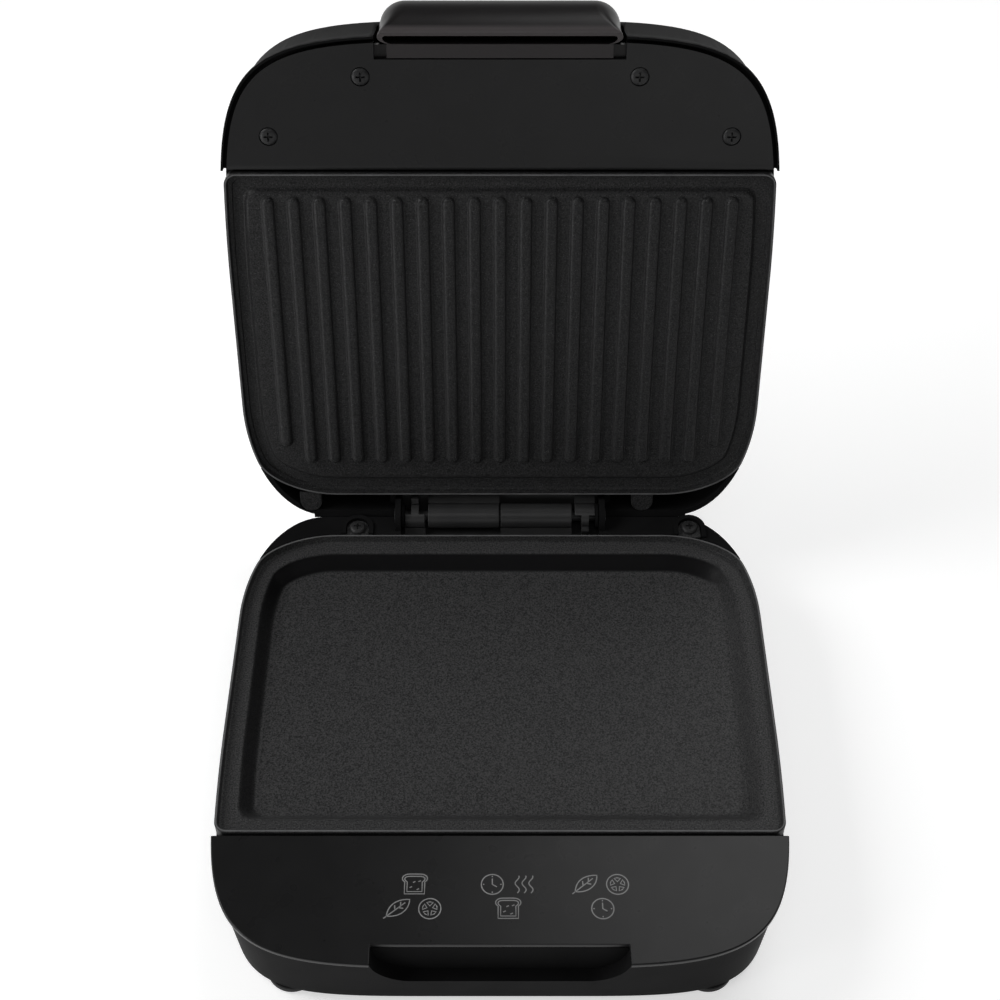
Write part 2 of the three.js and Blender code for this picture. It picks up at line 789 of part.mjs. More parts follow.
function thermostat(belly) {
  const top = -belly - gap;
  const neck = thermostatHeight - thermostatCapHeight;
  const body = revolved([
    [0, 0], [thermostatRadius, 0], [thermostatRadius, -neck], [thermostatCapRadius, -neck],
    [thermostatCapRadius, -thermostatHeight], [0, -thermostatHeight]].reverse());
  const blades = [-1, 1].map((side) => {
    const x = side * thermostatRadius / 2;
    const edge = shieldThickness / 2;
    const tip = -thermostatHeight - bladeLength;
    return box(x - edge, x + edge, -bladeWidth / 2, bladeWidth / 2, tip, -thermostatHeight + gap);
  });
  return moved(joined([body, ...blades]), 0, -plateFront * thermostatShare, top);
}

// Thermal fuse: a sleeved capsule lying under the lower heat shield
function thermalFuse() {
  const z = shieldTop(plateBelly) - shieldThickness - gap - fuseRadius;
  const capsule = new THREE.CylinderGeometry(fuseRadius, fuseRadius, fuseLength, sides);
  const lead = new THREE.CylinderGeometry(fuseLeadRadius, fuseLeadRadius, fuseLeadLength, heaterSides);
  return moved(joined([solid(capsule), solid(lead)]), half * fuseShare, -plateFront * fuseDepthShare, z);
}

function terminalBlock() {
  const floor = -bottomTop + gap;
  const side = terminalLength / 2;
  const middle = -terminalRear - terminalDepth / 2;
  const body = box(-side, side, -terminalRear - terminalDepth, -terminalRear, floor, floor + terminalHeight);
  const bores = Array.from({ length: terminalBores }, (unused, index) => {
    const x = (index - (terminalBores - 1) / 2) * terminalLength / terminalBores;
    const z = floor + terminalBoreRise;
    const bore = new THREE.CylinderGeometry(
      terminalBoreRadius, terminalBoreRadius, terminalDepth + overrun, heaterSides);
    bore.translate(x, middle, z);
    const top = floor + terminalHeight + overrun;
    return joined([solid(bore), cylinder(x, middle, z, top, terminalBoreRadius, heaterSides)]);
  });
  return cut(body, bores);
}

// Cord gland: a bush clipped through the rear wall of the base
function cordGland() {
  const inside = -wall - gap;
  const outside = gap;
  const edge = glandFlange - glandEdge;
  return intoRearWall(revolved([
    [glandBore, inside - glandFlangeThickness], [edge, inside - glandFlangeThickness],
    [glandFlange, inside], [glandNeck, inside], [glandNeck, outside], [glandFlange, outside],
    [edge, outside + glandFlangeThickness], [glandBore, outside + glandFlangeThickness]], hiddenSides));
}

// Bottom cover: a flat plate inside the wall's foot, with vents and screw recesses
function bottomCover() {
  const plan = (extra) => {
    const [side, front, rear] = [baseSideTaper, baseFrontTaper, baseRearTaper].map((taper) => {
      return taper + bottomInset + extra;
    });
    return housingPlan(side, front, rear, bottomSideShare, bottomFrontShare);
  };
  const plate = loft([{ z: -baseHeight, points: plan(bottomRound) }, { z: -bottomTop, points: plan(0) }]);
  const z0 = -baseHeight - overrun;
  const z1 = -bottomTop + overrun;
  const vents = Array.from({ length: ventCount }, (unused, index) => {
    const x = (index - (ventCount - 1) / 2) * ventPitch;
    const y = -plateFront * ventShare;
    return box(x - ventWidth / 2, x + ventWidth / 2, y - ventLength / 2, y + ventLength / 2, z0, z1);
  });
  const holes = bottomPosts().map(([x, y]) => {
    const recess = cylinder(x, y, z0, -baseHeight + bottomScrewRecess, screwHeadRadius + gap, hiddenSides);
    return joined([cylinder(x, y, z0, z1, screwHoleRadius, hiddenSides), recess]);
  });
  const plugs = footPlaces().map(([x, y]) => cylinder(x, y, z0, z1, footPlugRadius + gap, hiddenSides));
  return cut(plate, [...vents, ...holes, ...plugs]);
}

function bottomScrew(x, y) {
  const length = bottomThickness - bottomScrewRecess + screwBite;
  const body = screw(length, screwHeadRadius, hiddenSides).mirror([0, 0, 1]);
  return moved(body, x, y, -baseHeight + bottomScrewRecess - gap);
}

function footPlaces() {
  const x = half * footShare;
  const front = footSetback - bodyDepth;
  return [[-x, front], [x, front], [-x, -footRear], [x, -footRear]];
}

function foot(x, y) {
  const top = footHeight;
  return moved(revolved([
    [0, 0], [footRadius - footDraft, 0], [footRadius, top / 3], [footRadius, top],
    [footPlugRadius, top], [footPlugRadius, top + bottomThickness], [0, top + bottomThickness]]),
  x, y, -baseHeight - gap - footHeight);
}

// Hinge: each half has a long barrel and an end knuckle on one strap, and a finger at the far end
function strapShape(front) {
  const meet = openAngle / 2 + gap / (strapInner + strapOuter);
  const shape = new THREE.Shape();
  shape.moveTo(-front, -strapOuter);
  shape.lineTo(strapOuter / Math.tan(meet), -strapOuter);
  shape.lineTo(strapInner / Math.tan(meet), -strapInner);
  shape.lineTo(-front, -strapInner);
  return shape;
}

// A profile in the plane across the hinge, carried along X from x0 to x1
function acrossHinge(shape, x0, x1) {
  const geometry = new THREE.ExtrudeGeometry(shape, { depth: x1 - x0, bevelEnabled: false });
  geometry.rotateX(Math.PI / 2);
  geometry.rotateZ(Math.PI / 2);
  geometry.translate(x0, 0, 0);
  return solid(geometry);
}

function knuckle(x0, x1) {
  const web = new THREE.Shape();
  web.moveTo(-strapFront, -strapInner - gap);
  web.lineTo(barrelRadius / 2, -strapInner - gap);
  web.lineTo(barrelRadius / 2, -pinRadius);
  web.lineTo(-barrelRadius + gap, -pinRadius);
  return joined([axle(x0, x1, barrelRadius), acrossHinge(web, x0, x1)]);
}

// The bracket of the base; the lid's is the same piece turned over and end for end
function hingeBracket() {
  const strap = acrossHinge(strapShape(strapFront), gap - earInner, earInner - gap);
  const barrel = knuckle(barrelGap / 2, barrelEnd);
  const end = knuckle(-knuckleEnd, -knuckleStart);
  const middle = (knuckleStart + knuckleEnd) / 2;
  const side = fingerWidth / 2;
  const finger = box(middle - side, middle + side, -strapFront, -gap, -strapInner - gap, -gap);
  const reach = axle(-half, half, barrelRadius + gap + gap);
  return cut(joined([strap, barrel, end, cut(finger, [reach])]), [
    pinBore(), ...hingeScrewHoles(1, strapOuter)]);
}

function hingeScrewPlaces(sign) {
  return hingeScrewShares.map((share) => sign * barrelLength * share);
}

function hingeScrewHoles(sign, depth) {
  return hingeScrewPlaces(sign).map((x) => {
    return cylinder(x, -hingeScrewDepth, -depth - overrun, -pinRadius - wall, screwHoleRadius, hiddenSides);
  });
}

function hingeScrew(x) {
  const under = -pocketFloor - wall - gap;
  const body = screw(-under - pinRadius - wall - gap, hingeHeadRadius, hiddenSides);
  return moved(body.mirror([0, 0, 1]), x, -hingeScrewDepth, under);
}

function hingePin() {
  return axle(-pinHalf, pinHalf, pinRadius);
}

// Housing of the lid, drawn turned over: the same plan with a rounded, slightly crowned top
function shrunk(points, share) {
  return points.map((p) => new THREE.Vector2(p.x * share, (p.y + half) * share - half));
}

function lidRings(inset, extra, roundShares, crownShares) {
  const rise = lidHeight - lidCrown - lidWallHeight;
  const rounds = roundShares.map((share) => {
    const angle = share * Math.PI / 2;
    return {
      z: -(lidWallHeight + rise * Math.sin(angle)) + inset,
      points: evenPlan(lidTaper + lidRound * (1 - Math.cos(angle)) + inset) };
  });
  const rim = rounds[rounds.length - 1].points;
  const crown = crownShares.map((share) => {
    return { z: -lidHeight + lidCrown * share * share + inset, points: shrunk(rim, share) };
  });
  return [
    ...crown, ...rounds.reverse(), { z: -lidWallHeight, points: evenPlan(lidTaper + inset) },
    { z: -coverTop + extra, points: evenPlan(inset) }];
}

function lidFrontRings(inset) {
  return [
    { z: -lidWallHeight / 2, points: evenPlan(inset + lidTaper / 2 + gap) },
    { z: -coverUnder, points: evenPlan(inset - coverOverhang) },
    { z: -coverTop, points: evenPlan(inset - coverOverhang) }];
}

// The front part of the lid widens towards its edge
function lidFlare() {
  const front = box(-bodyWidth, bodyWidth, -bodyDepth - coverDepth, -coverRear, -bodyDepth, headroom);
  const hollow = loft([
    { z: -lidWallHeight / 2 - overrun, points: evenPlan(wall + lidTaper / 2) },
    { z: -shelf, points: evenPlan(wall - coverOverhang) },
    { z: headroom, points: evenPlan(wall - coverOverhang) }]);
  return [loft(lidFrontRings(0)).intersect(front), hollow.intersect(front)];
}

// Seat of the hinge bracket at the rear, between two cheeks
function lidHingeSeat() {
  const front = -deckEdge - wall;
  const outside = pinHalf + wall;
  const seat = box(-outside, outside, front, -webThickness, -pocketFloor - wall, -pocketFloor);
  const cheeks = [-1, 1].map((side) => {
    const x0 = side > 0 ? pinHalf : -outside;
    return box(x0, x0 + wall, front, -webThickness, -lidHeight + lidRound, -wallTop);
  });
  return joined([seat, ...cheeks]);
}

function lidShell() {
  const outer = loft(lidRings(0, 0, lidRoundShares, lidCrownShares));
  const inner = loft(lidRings(wall, headroom, lidHollowShares, lidCrownShares));
  const [flare, flareHollow] = lidFlare();
  const hood = cut(joined([outer, flare]), [inner, flareHollow, plateWell()]);
  const notchFront = -deckEdge - overrun;
  const hingeNotch = box(-pinHalf, pinHalf, notchFront, overrun, -pocketFloor, headroom);
  const posts = panelScrews().map(([x, y], index) => panelPost(x, y, index < 2));
  const lugBosses = lugPlaces(-1).map((x) => {
    return cylinder(x, -lugCentre, -lidHeight + wall, -lugUnder - gap, postRadius).intersect(outer);
  });
  const partition = frontPartition(bossDepth).intersect(outer);
  const body = joined([hood, partition, lidHingeSeat(), ...posts, ...lugBosses]);
  return turnedOver(cut(body, [
    hingeNotch, handleWindow(), ...lugPockets(-1), ...panelBores(), ...lampBores(),
    ...hingeScrewHoles(-1, pocketFloor + wall)]));
}

function handleWindow() {
  const [front, back] = [-bodyDepth - coverDepth, -bodyDepth + handleBackWall + wall];
  const under = -handleHeight - coverTop - gap;
  return box(-handleNotchHalf, handleNotchHalf, front, back, under, headroom);
}

function panelScrews() {
  return [handleNotchHalf + innerScrewReach, half * outerScrewShare].flatMap((x, index) => {
    const y = panelScrewSetbacks[index] - bodyDepth;
    return [[-x, y], [x, y]];
  });
}

function panelPost(x, y, shorter) {
  const top = shorter ? -shelf - handleFlangeThickness - gap : -shelf;
  return cylinder(x, y, -lidHeight + wall, top, postRadius, hiddenSides);
}

function panelBores() {
  return panelScrews().map(([x, y]) => {
    return cylinder(x, y, -coverUnder - bossDepth, 0, screwHoleRadius, hiddenSides);
  });
}

function lampPlace() {
  return lampSetback - bodyDepth;
}

function lampBores() {
  return [-1, 1].map((side) => {
    return cylinder(side * lampX, lampPlace(), -lidHeight - overrun, -lidHeight + screwBite, lampStem + gap);
  });
}

// Inner front panel of the lid: bevelled rear edge, notch for the handle's foot, four screw seats
function lidFrontPanel() {
  const inset = panelInset - coverOverhang;
  const plate = loft([
    { z: -coverUnder, points: evenPlan(inset) }, { z: -coverTop, points: evenPlan(inset) }]);
  const behind = box(-bodyWidth, bodyWidth, -coverRear - gap, bodyDepth, -bodyDepth, bodyDepth);
  const start = -coverRear - gap - panelBevelWidth;
  const bevelShape = new THREE.Shape();
  bevelShape.moveTo(start, -coverTop);
  bevelShape.lineTo(start + panelBevelWidth, -coverTop - panelBevelDrop);
  bevelShape.lineTo(start + panelBevelWidth + overrun, -coverTop - panelBevelDrop);
  bevelShape.lineTo(start + panelBevelWidth + overrun, headroom);
  bevelShape.lineTo(start, headroom);
  const bevel = acrossHinge(bevelShape, -bodyWidth, bodyWidth);
  const [notchFront, notchBack] = [-bodyDepth - coverDepth, handleNotchDepth - bodyDepth - coverOverhang];
  const notch = box(-handleNotchHalf, handleNotchHalf, notchFront, notchBack, -bodyDepth, headroom);
  const seats = panelScrews().map(([x, y]) => joined([
    cylinder(x, y, -coverUnder - overrun, 0, screwHoleRadius),
    cylinder(x, y, -coverTop - screwHeadHeight * screwSeatShare, 0, screwHeadRadius + gap)]));
  return turnedOver(cut(plate, [behind, bevel, notch, ...seats]));
}

function panelScrew(x, y) {
  const under = -coverTop - screwHeadHeight * screwSeatShare + gap;
  return turnedOver(moved(screw(screwLength, screwHeadRadius, sides), x, y, under));
}

// Handle: a cup-shaped pull outside the lid's front wall, with a foot and a clamped flange inside
function handlePlan(front, back, inset) {
  const edge = handleHalf - inset;
  const corner = Math.min(handleCorner - inset, back - front - gap);
  const turn = new THREE.EllipseCurve(edge - corner, front + corner, corner, corner, 0, -Math.PI / 2, true);
  return mirrored([new THREE.Vector2(edge, back), ...turn.getPoints(handleSteps)]);
}

function handle() {
  const outside = -bodyDepth - coverOverhang;
  const mouthBack = outside + handleMouth;
  const notchBack = outside + handleNotchDepth;
  const cup = loft(handleOuterShares.map(([heightShare, reachShare]) => {
    const front = outside - handleLip - (handleReach - handleLip) * reachShare;
    const edge = heightShare === 0 || heightShare === 1 ? gap : 0;
    return { z: -coverTop - handleHeight * heightShare, points: handlePlan(front, mouthBack, edge) };
  }).reverse());
  const hollow = loft(handleHollowShares.map(([heightShare, reachShare]) => {
    const front = outside - gap - (handleReach - handleSkin) * reachShare;
    const z = heightShare === 0 ? headroom : -coverTop - handleHeight * heightShare;
    return { z, points: handlePlan(front, mouthBack, handleSkin) };
  }).reverse());
  const side = handleHalf - handleFootInset;
  const backWall = box(
    -side, side, mouthBack - gap, mouthBack + handleBackWall, -coverTop - handleHeight, -coverTop);
  const foot = box(-side, side, mouthBack, notchBack - gap, -shelf - gap, -coverTop);
  const inside = loft([
    { z: -lidHeight, points: evenPlan(wall + gap) }, { z: headroom, points: evenPlan(wall + gap) }]);
  const reach = handleHalf + handleFlangeReach;
  const flange = box(
    -reach, reach, mouthBack, mouthBack + handleFlangeDepth, -shelf - handleFlangeThickness, -shelf);
  const bores = panelScrews().slice(0, 2).map(([x, y]) => {
    return cylinder(x, y, -shelf - bossDepth, 0, screwHoleRadius, hiddenSides);
  });
  return turnedOver(cut(joined([cut(cup, [hollow]), backWall, foot, flange.intersect(inside)]), bores));
}

function lampLens(side) {
  const seat = lidHeight + gap;
  return moved(revolved([
    [0, -lampStemLength], [lampStem, -lampStemLength], [lampStem, 0], [lampRadius, 0],
    [lampRadius - lampEdge, lampRise - gap], [0, lampRise]]), side * lampX, lampPlace(), seat);
}

// The two bodies
const base = new THREE.Group();
addPiece(base, 'base_shell', baseShell(), blackPlastic);
addPiece(base, 'base_front_cover', baseFrontCover(), coverPlastic);
addPiece(base, 'lower_plate', lowerPlate(), coating);
['left', 'right'].forEach((side, index) => {
  const x = lugPlaces(1)[index];
  const body = moved(screw(screwLength, screwHeadRadius, sides), x, -lugCentre, -lugTop + gap);
  addPiece(base, `lower_plate_screw_${side}`, body, steel);
});
addPiece(base, 'lower_heater', heater(plateBelly), darkSteel);
addPiece(base, 'lower_heat_shield', heatShield(plateBelly), aluminium);
['rear', 'front'].forEach((end, index) => {
  addPiece(base, `lower_shield_screw_${end}`, shieldScrew(plateBelly, shieldPosts()[index]), steel);
});
addPiece(base, 'lower_thermostat', thermostat(plateBelly), aluminium);
addPiece(base, 'thermal_fuse', thermalFuse(), ceramic);
addPiece(base, 'terminal_block', terminalBlock(), ceramic);
addPiece(base, 'cord_gland', cordGland(), rubber);
addPiece(base, 'bottom_cover', bottomCover(), blackPlastic);
bottomPosts().forEach(([x, y], index) => {
  addPiece(base, `bottom_screw_${index + 1}`, bottomScrew(x, y), steel);
});
footPlaces().forEach(([x, y], index) => addPiece(base, `foot_${index + 1}`, foot(x, y), rubber));
addPiece(base, 'base_hinge_bracket', hingeBracket(), blackPlastic);
hingeScrewPlaces(1).forEach((x, index) => {
  addPiece(base, `base_hinge_screw_${index + 1}`, hingeScrew(x), steel);
});
addPiece(base, 'hinge_pin', hingePin(), steel);

const lid = new THREE.Group();
addPiece(lid, 'lid_shell', lidShell(), blackPlastic);
addPiece(lid, 'lid_front_panel', lidFrontPanel(), coverPlastic);
panelScrews().forEach(([x, y], index) => addPiece(lid, `panel_screw_${index + 1}`, panelScrew(x, y), steel));
addPiece(lid, 'handle', handle(), handlePlastic);
addPiece(lid, 'upper_plate', upperPlate(), coating);
addPiece(lid, 'upper_heater', turnedOver(heater(flangeUnder)), darkSteel);
addPiece(lid, 'upper_heat_shield', turnedOver(heatShield(flangeUnder)), aluminium);
['rear', 'front'].forEach((end, index) => {
  const body = turnedOver(shieldScrew(flangeUnder, shieldPosts()[index]));
  addPiece(lid, `upper_shield_screw_${end}`, body, steel);
});
addPiece(lid, 'upper_thermostat', turnedOver(thermostat(flangeUnder)), aluminium);
addPiece(lid, 'lid_hinge_bracket', hingeBracket().mirror([0, 0, 1]).mirror([1, 0, 0]), blackPlastic);
hingeScrewPlaces(-1).forEach((x, index) => {
  addPiece(lid, `lid_hinge_screw_${index + 1}`, turnedOver(hingeScrew(x)), steel);
});
addPiece(lid, 'power_lamp', lampLens(-1), redLens);
addPiece(lid, 'ready_lamp', lampLens(1), greenLens);
lid.rotation.x = -openAngle;

// The grill stands on its feet, with the origin under the middle of the opened grill
const grill = new THREE.Group();
grill.add(base, lid);
grill.updateMatrixWorld(true);
const bounds = new THREE.Box3().setFromObject(grill, true);
base.position.set(0, -(bounds.min.y + bounds.max.y) / 2, hingeHeight);
lid.position.copy(base.position);

export default grill;
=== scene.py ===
"""Sandwich grill with its lid open: the visible pieces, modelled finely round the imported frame."""
import json
import math

import bmesh
import bpy
from mathutils import Matrix, Vector

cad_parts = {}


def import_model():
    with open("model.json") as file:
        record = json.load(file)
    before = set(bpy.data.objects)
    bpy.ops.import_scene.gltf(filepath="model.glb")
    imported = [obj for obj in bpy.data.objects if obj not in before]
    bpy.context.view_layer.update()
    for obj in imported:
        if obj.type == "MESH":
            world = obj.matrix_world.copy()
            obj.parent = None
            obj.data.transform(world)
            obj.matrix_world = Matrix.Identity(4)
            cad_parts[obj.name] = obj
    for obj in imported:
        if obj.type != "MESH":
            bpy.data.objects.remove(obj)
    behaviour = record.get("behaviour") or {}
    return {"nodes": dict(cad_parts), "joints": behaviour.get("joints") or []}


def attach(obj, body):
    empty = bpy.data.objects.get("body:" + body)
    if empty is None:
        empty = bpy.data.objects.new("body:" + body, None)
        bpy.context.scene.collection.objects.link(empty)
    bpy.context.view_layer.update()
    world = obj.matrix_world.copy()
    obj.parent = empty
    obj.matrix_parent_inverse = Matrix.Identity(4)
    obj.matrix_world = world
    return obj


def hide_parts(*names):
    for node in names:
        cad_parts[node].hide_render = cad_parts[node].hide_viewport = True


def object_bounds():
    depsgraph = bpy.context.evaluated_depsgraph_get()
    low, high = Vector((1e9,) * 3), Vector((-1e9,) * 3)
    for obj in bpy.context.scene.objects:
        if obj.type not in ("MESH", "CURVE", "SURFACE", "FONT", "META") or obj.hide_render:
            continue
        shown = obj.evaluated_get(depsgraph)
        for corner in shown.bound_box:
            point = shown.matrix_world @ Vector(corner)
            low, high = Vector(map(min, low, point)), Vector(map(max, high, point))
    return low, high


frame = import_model()
CAD_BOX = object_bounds()

# Frame: the hinge axis, and how far the lid stands open at rest
JOINT = frame["joints"][0]
HINGE = Vector(JOINT["pos_m"])
OPEN = math.radians(JOINT["range_deg"][1])
MM = 0.001

# Fits, in millimetres like every size below
GAP = 0.3
OVERRUN = 2.0
PARTING_HALF = 0.5
ROUND_SIDES = 48
HOLE_SIDES = 24
AXLE_SIDES = 64

# Plan of the housing, measured from the hinge axis
BODY_HALF = 120.0
BODY_DEPTH = 231.2
REAR_CORNER_WIDTH = 35.0
REAR_CORNER_DEPTH = 60.0
FRONT_CORNER_WIDTH = 86.4
FRONT_CORNER_DEPTH = 109.9
TOP_SIDE_SHARE = 0.859
TOP_FRONT_SHARE = 0.938
BOTTOM_SIDE_SHARE = 0.96
BOTTOM_FRONT_SHARE = 0.945
REAR_STEPS = 18
FRONT_STEPS = 44

# Housings
WALL = 2.5
BASE_HEIGHT = 42.0
BASE_SIDE_TAPER = 3.5
BASE_FRONT_TAPER = 4.9
BASE_REAR_TAPER = 3.0
BOTTOM_ROUND = 1.5
LID_HEIGHT = 40.5
LID_WALL_HEIGHT = 30.0
LID_TAPER = 1.1
LID_ROUND = 10.5
LID_CROWN = 1.2
LID_ROUND_SHARES = (0.15, 0.3, 0.45, 0.6, 0.72, 0.82, 0.91, 1)
LID_CROWN_SHARES = (0.2, 0.4, 0.6, 0.8, 0.92)

# Front covers of the two halves
COVER_DEPTH = 56.5
COVER_OVERHANG = 1.2
COVER_THICKNESS = 2.5
COVER_DROP = 0.3
COVER_EDGE = 0.6
COVER_SLACK = 0.09
PANEL_INSET = 2.5
PANEL_BEVEL_WIDTH = 2.4
PANEL_BEVEL_DROP = 0.9
RIM_WALL = 0.9
RIM_GROOVE_DEPTH = 3.4
PANEL_SEAT_SLACK = 0.2
REAR_BEAD = 1.25
REAR_BEAD_ROOT = 1.0
REAR_BEAD_HEIGHT = 2.6
REAR_BEAD_FACE = 0.8
REAR_BEAD_INNER = 51.3
REAR_BEAD_OUTER = 90.0

# Finger scoop at the front of the base
SCOOP_HALF = 51.1
SCOOP_FLOOR_HALF = 36.0
SCOOP_DEPTH = 8.7
SCOOP_DROP = 21.0
SCOOP_STEPS = 18

# Cooking plates
REAR_DECK_DEPTH = 11.5
PLATE_FRONT = 173.6
PLATE_SIDE_HALF = 118.8
PLATE_CORNER_RADIUS = 5.5
LIP_WIDTH = 1.2
LIP_HEIGHT = 3.8
LEDGE_WIDTH = 7.3
STEP_INSET = 3.1
FLANGE_THICKNESS = 2.5
PAN_DEPTH = 11.5
PAN_SLOPE = 5.0
PLATE_WALL = 3.0
PLATE_REAR_FLAT = 78.0
PLATE_SIDE_SHARE = 0.5
BLEND_START_SHARE = 0.49
BLEND_END_SHARE = 0.51
BLEND_DEGREES = 31.0
PLATE_REAR_STEPS = 14
PLATE_TURN_STEPS = 16
PLATE_SIDE_STEPS = 8
PLATE_CORNER_STEPS = 12

# Profiles of the plates, each row an inset, a depth and a corner radius, measured from the named edge
PLATE_EDGE = 0.45
LIP_CREST = [(0.0, 0.4, 4.3), (-0.12, 0.1, 4.4), (-0.4, -0.01, 4.6)]
PAN_FOOT = [(2.4, 0.0, 4.5), (1.1, -0.15, 5), (0.0, -0.8, 5.5), (-0.9, -1.9, 6)]
PAN_BROW = [(1.3, 1.9, 6.6), (0.5, 0.7, 6.7), (-0.4, 0.15, 6.7), (-1.6, 0.0, 6.4)]
PAN_LIP_FOOT = [(1.3, 0.0, 4.6), (0.5, -0.25, 4.5), (0.15, -0.8, 4.4)]
STEP_EDGE = [(0.5, 0.0, 4.8), (0.15, -0.1, 4.8), (0.0, -0.5, 4.8), (-0.2, -0.75, 4.8)]
STEP_LIP_FOOT = [(0.7, -0.8, 4.5), (0.25, -0.95, 4.5), (0.05, -1.4, 4.4)]

# Raised field and ribs of the upper plate, each row an inset and a depth, or a growth and a lift
FIELD_RAISE = 2.0
FIELD_EDGE = [
    (-1.4, 1.0), (-1.4, 0.0), (-0.7, -0.2), (-0.1, -0.9), (0.3, -1.5), (0.7, -1.9), (1.6, -FIELD_RAISE)]
RIB_COUNT = 19
RIB_PITCH = 11.2
RIB_WIDTH = 5.4
RIB_LIFT = 2.2
RIB_REAR = 29.0
RIB_FRONT = 162.4
OUTER_RIB_REAR = 38.2
RIB_END_STEPS = 12
RIB_SECTION = [
    (0.7, -0.5), (0.7, 0.0), (0.25, 0.12), (0.0, 0.45), (-0.06, 0.95), (-0.25, 1.4), (-0.6, 1.8),
    (-1.1, 2.06), (-1.8, RIB_LIFT)]

# Painted highlight on the lip's crest, partly wear of the coating, and painted shade on the pan's rear and
# left walls
CREST_DEPTH = 0.05
WEAR_AND_HIGHLIGHT_MARGIN = 1.0
WALL_SHADE_MARGIN = 0.6
REAR_WALL_SHADE = 1.6
LEFT_WALL_SHADE = 0.9

# Lugs that hold the plates at the back
LUG_NEAR = 68.6
LUG_FAR = 91.3
LUG_RADIUS = 5.2
LUG_CENTRE = 7.2
LUG_THICKNESS = 3.0
LUG_DROP = 0.8
COLLAR_WALL = 2.1
COLLAR_RISE = 1.2
BOSS_DEPTH = 20.0
LUG_STEPS = 32

# Hinge
PIN_RADIUS = 2.5
BARREL_RADIUS = 6.05
BARREL_LENGTH = 34.4
BARREL_GAP = 0.6
KNUCKLE_LENGTH = 9.8
KNUCKLE_START = 36.1
FINGER_WIDTH = 3.4
FINGER_CENTRE = 41.0
STRAP_INNER = 6.5
STRAP_OUTER = 9.1
STRAP_FRONT = 9.4
EAR_RADIUS = 9.0
EAR_THICKNESS = 2.7
EAR_INNER = 47.7
LID_POCKET_HALF = 51.0
PIN_HALF = 51.0
WEB_THICKNESS = 0.6
STRAP_SLACK = 0.02
FINGER_SLACK = 0.1
NOTCH_FLOOR = 0.2
BARREL_SIDES = 72
BARREL_CHAMFER = 0.4
WASHER_RADIUS = 6.2
WASHER_CHAMFER = 0.25
PIN_HEAD_RADIUS = 3.8
PIN_HEAD_SLACK = 0.1
PIN_HEAD_CHAMFER = 0.15

# Screws
SCREW_HEAD_RADIUS = 3.75
SCREW_HEAD_HEIGHT = 2.0
SCREW_SHANK_RADIUS = 1.5
SCREW_HOLE_RADIUS = 1.85
POST_RADIUS = 4.0
CROSS_LENGTH = 4.4
CROSS_WIDTH = 0.9
CROSS_DEPTH = 1.3
CROSS_OVERRUN = 0.2
CROSS_FLOOR_SHARE = 0.55
PANEL_SCREW_SINK_SHARE = 0.75
SCREW_DOME_SHARES = [(1, 0), (1, 0.4), (0.96, 0.62), (0.86, 0.8), (0.68, 0.92), (0.4, 0.985), (0, 1)]

# Handle
HANDLE_HALF = 50.4
HANDLE_CORNER = 11.0
HANDLE_FOOT_HALF = 46.6
HANDLE_NOTCH_HALF = 52.0
HANDLE_NOTCH_DEPTH = 9.7
HANDLE_FLANGE_HALF = 64.0
HANDLE_FLANGE_DEPTH = 14.0
HANDLE_FLANGE_THICKNESS = 2.2
HANDLE_HEIGHT = 23.8
HANDLE_LIP = 2.1
HANDLE_REACH = 9.3
HANDLE_MOUTH = 3.7
HANDLE_BACK_WALL = 2.3
HANDLE_SKIN = 2.2
HANDLE_STEPS = 14
HEEL_STEPS = 10
# Reach and strength of the painted highlight on the handle's lip and the foot's edge, partly rubbing too
LIP_RUB_AND_HIGHLIGHT_DEPTH = 1.3
FOOT_RUB_AND_HIGHLIGHT_DEPTH = 0.5
FOOT_RUB_AND_HIGHLIGHT = 0.35

# Cup of the handle, each row a share of its height, a share of its reach and the size of its heel
HANDLE_PROFILE = [
    (0.0, -0.17, 8.5), (0.018, -0.05, 8.5), (0.05, 0.1, 7.5), (0.12, 0.27, 5.0), (0.2, 0.48, 2.5),
    (0.3, 0.66, 1.5), (0.4, 0.8, 1.5), (0.52, 0.91, 1.5), (0.62, 0.97, 1.5), (0.72, 1.0, 1.5),
    (0.8, 1.0, 1.5), (0.86, 0.95, 1.5), (0.91, 0.84, 1.5), (0.95, 0.7, 1.5), (0.98, 0.5, 1.5),
    (1.0, 0.3, 1.5)]
HANDLE_HOLLOW = [
    (0.0, 0.0, 6.8), (0.06, 0.0, 6.8), (0.1, 0.2, 5.5), (0.3, 0.5, 2.5), (0.6, 0.85, 2.0),
    (0.75, 0.8, 2.0), (0.8, 0.5, 2.0)]
HEEL_SHARE = 0.38
PANEL_SCREWS = [(s * x, -y) for x, y in ((57.9, 215.5), (97.9, 189.9)) for s in (-1, 1)]

# Print on the deck
PRINT_GROUPS = [-34.4, 3.3, 41.0]
PRINT_ROWS = [197.3, 208.0]
PRINT_COLUMN = 6.4
PRINT_SCALE = 0.92
PRINT_LINE = 0.45
PRINT_THICKNESS = 0.04

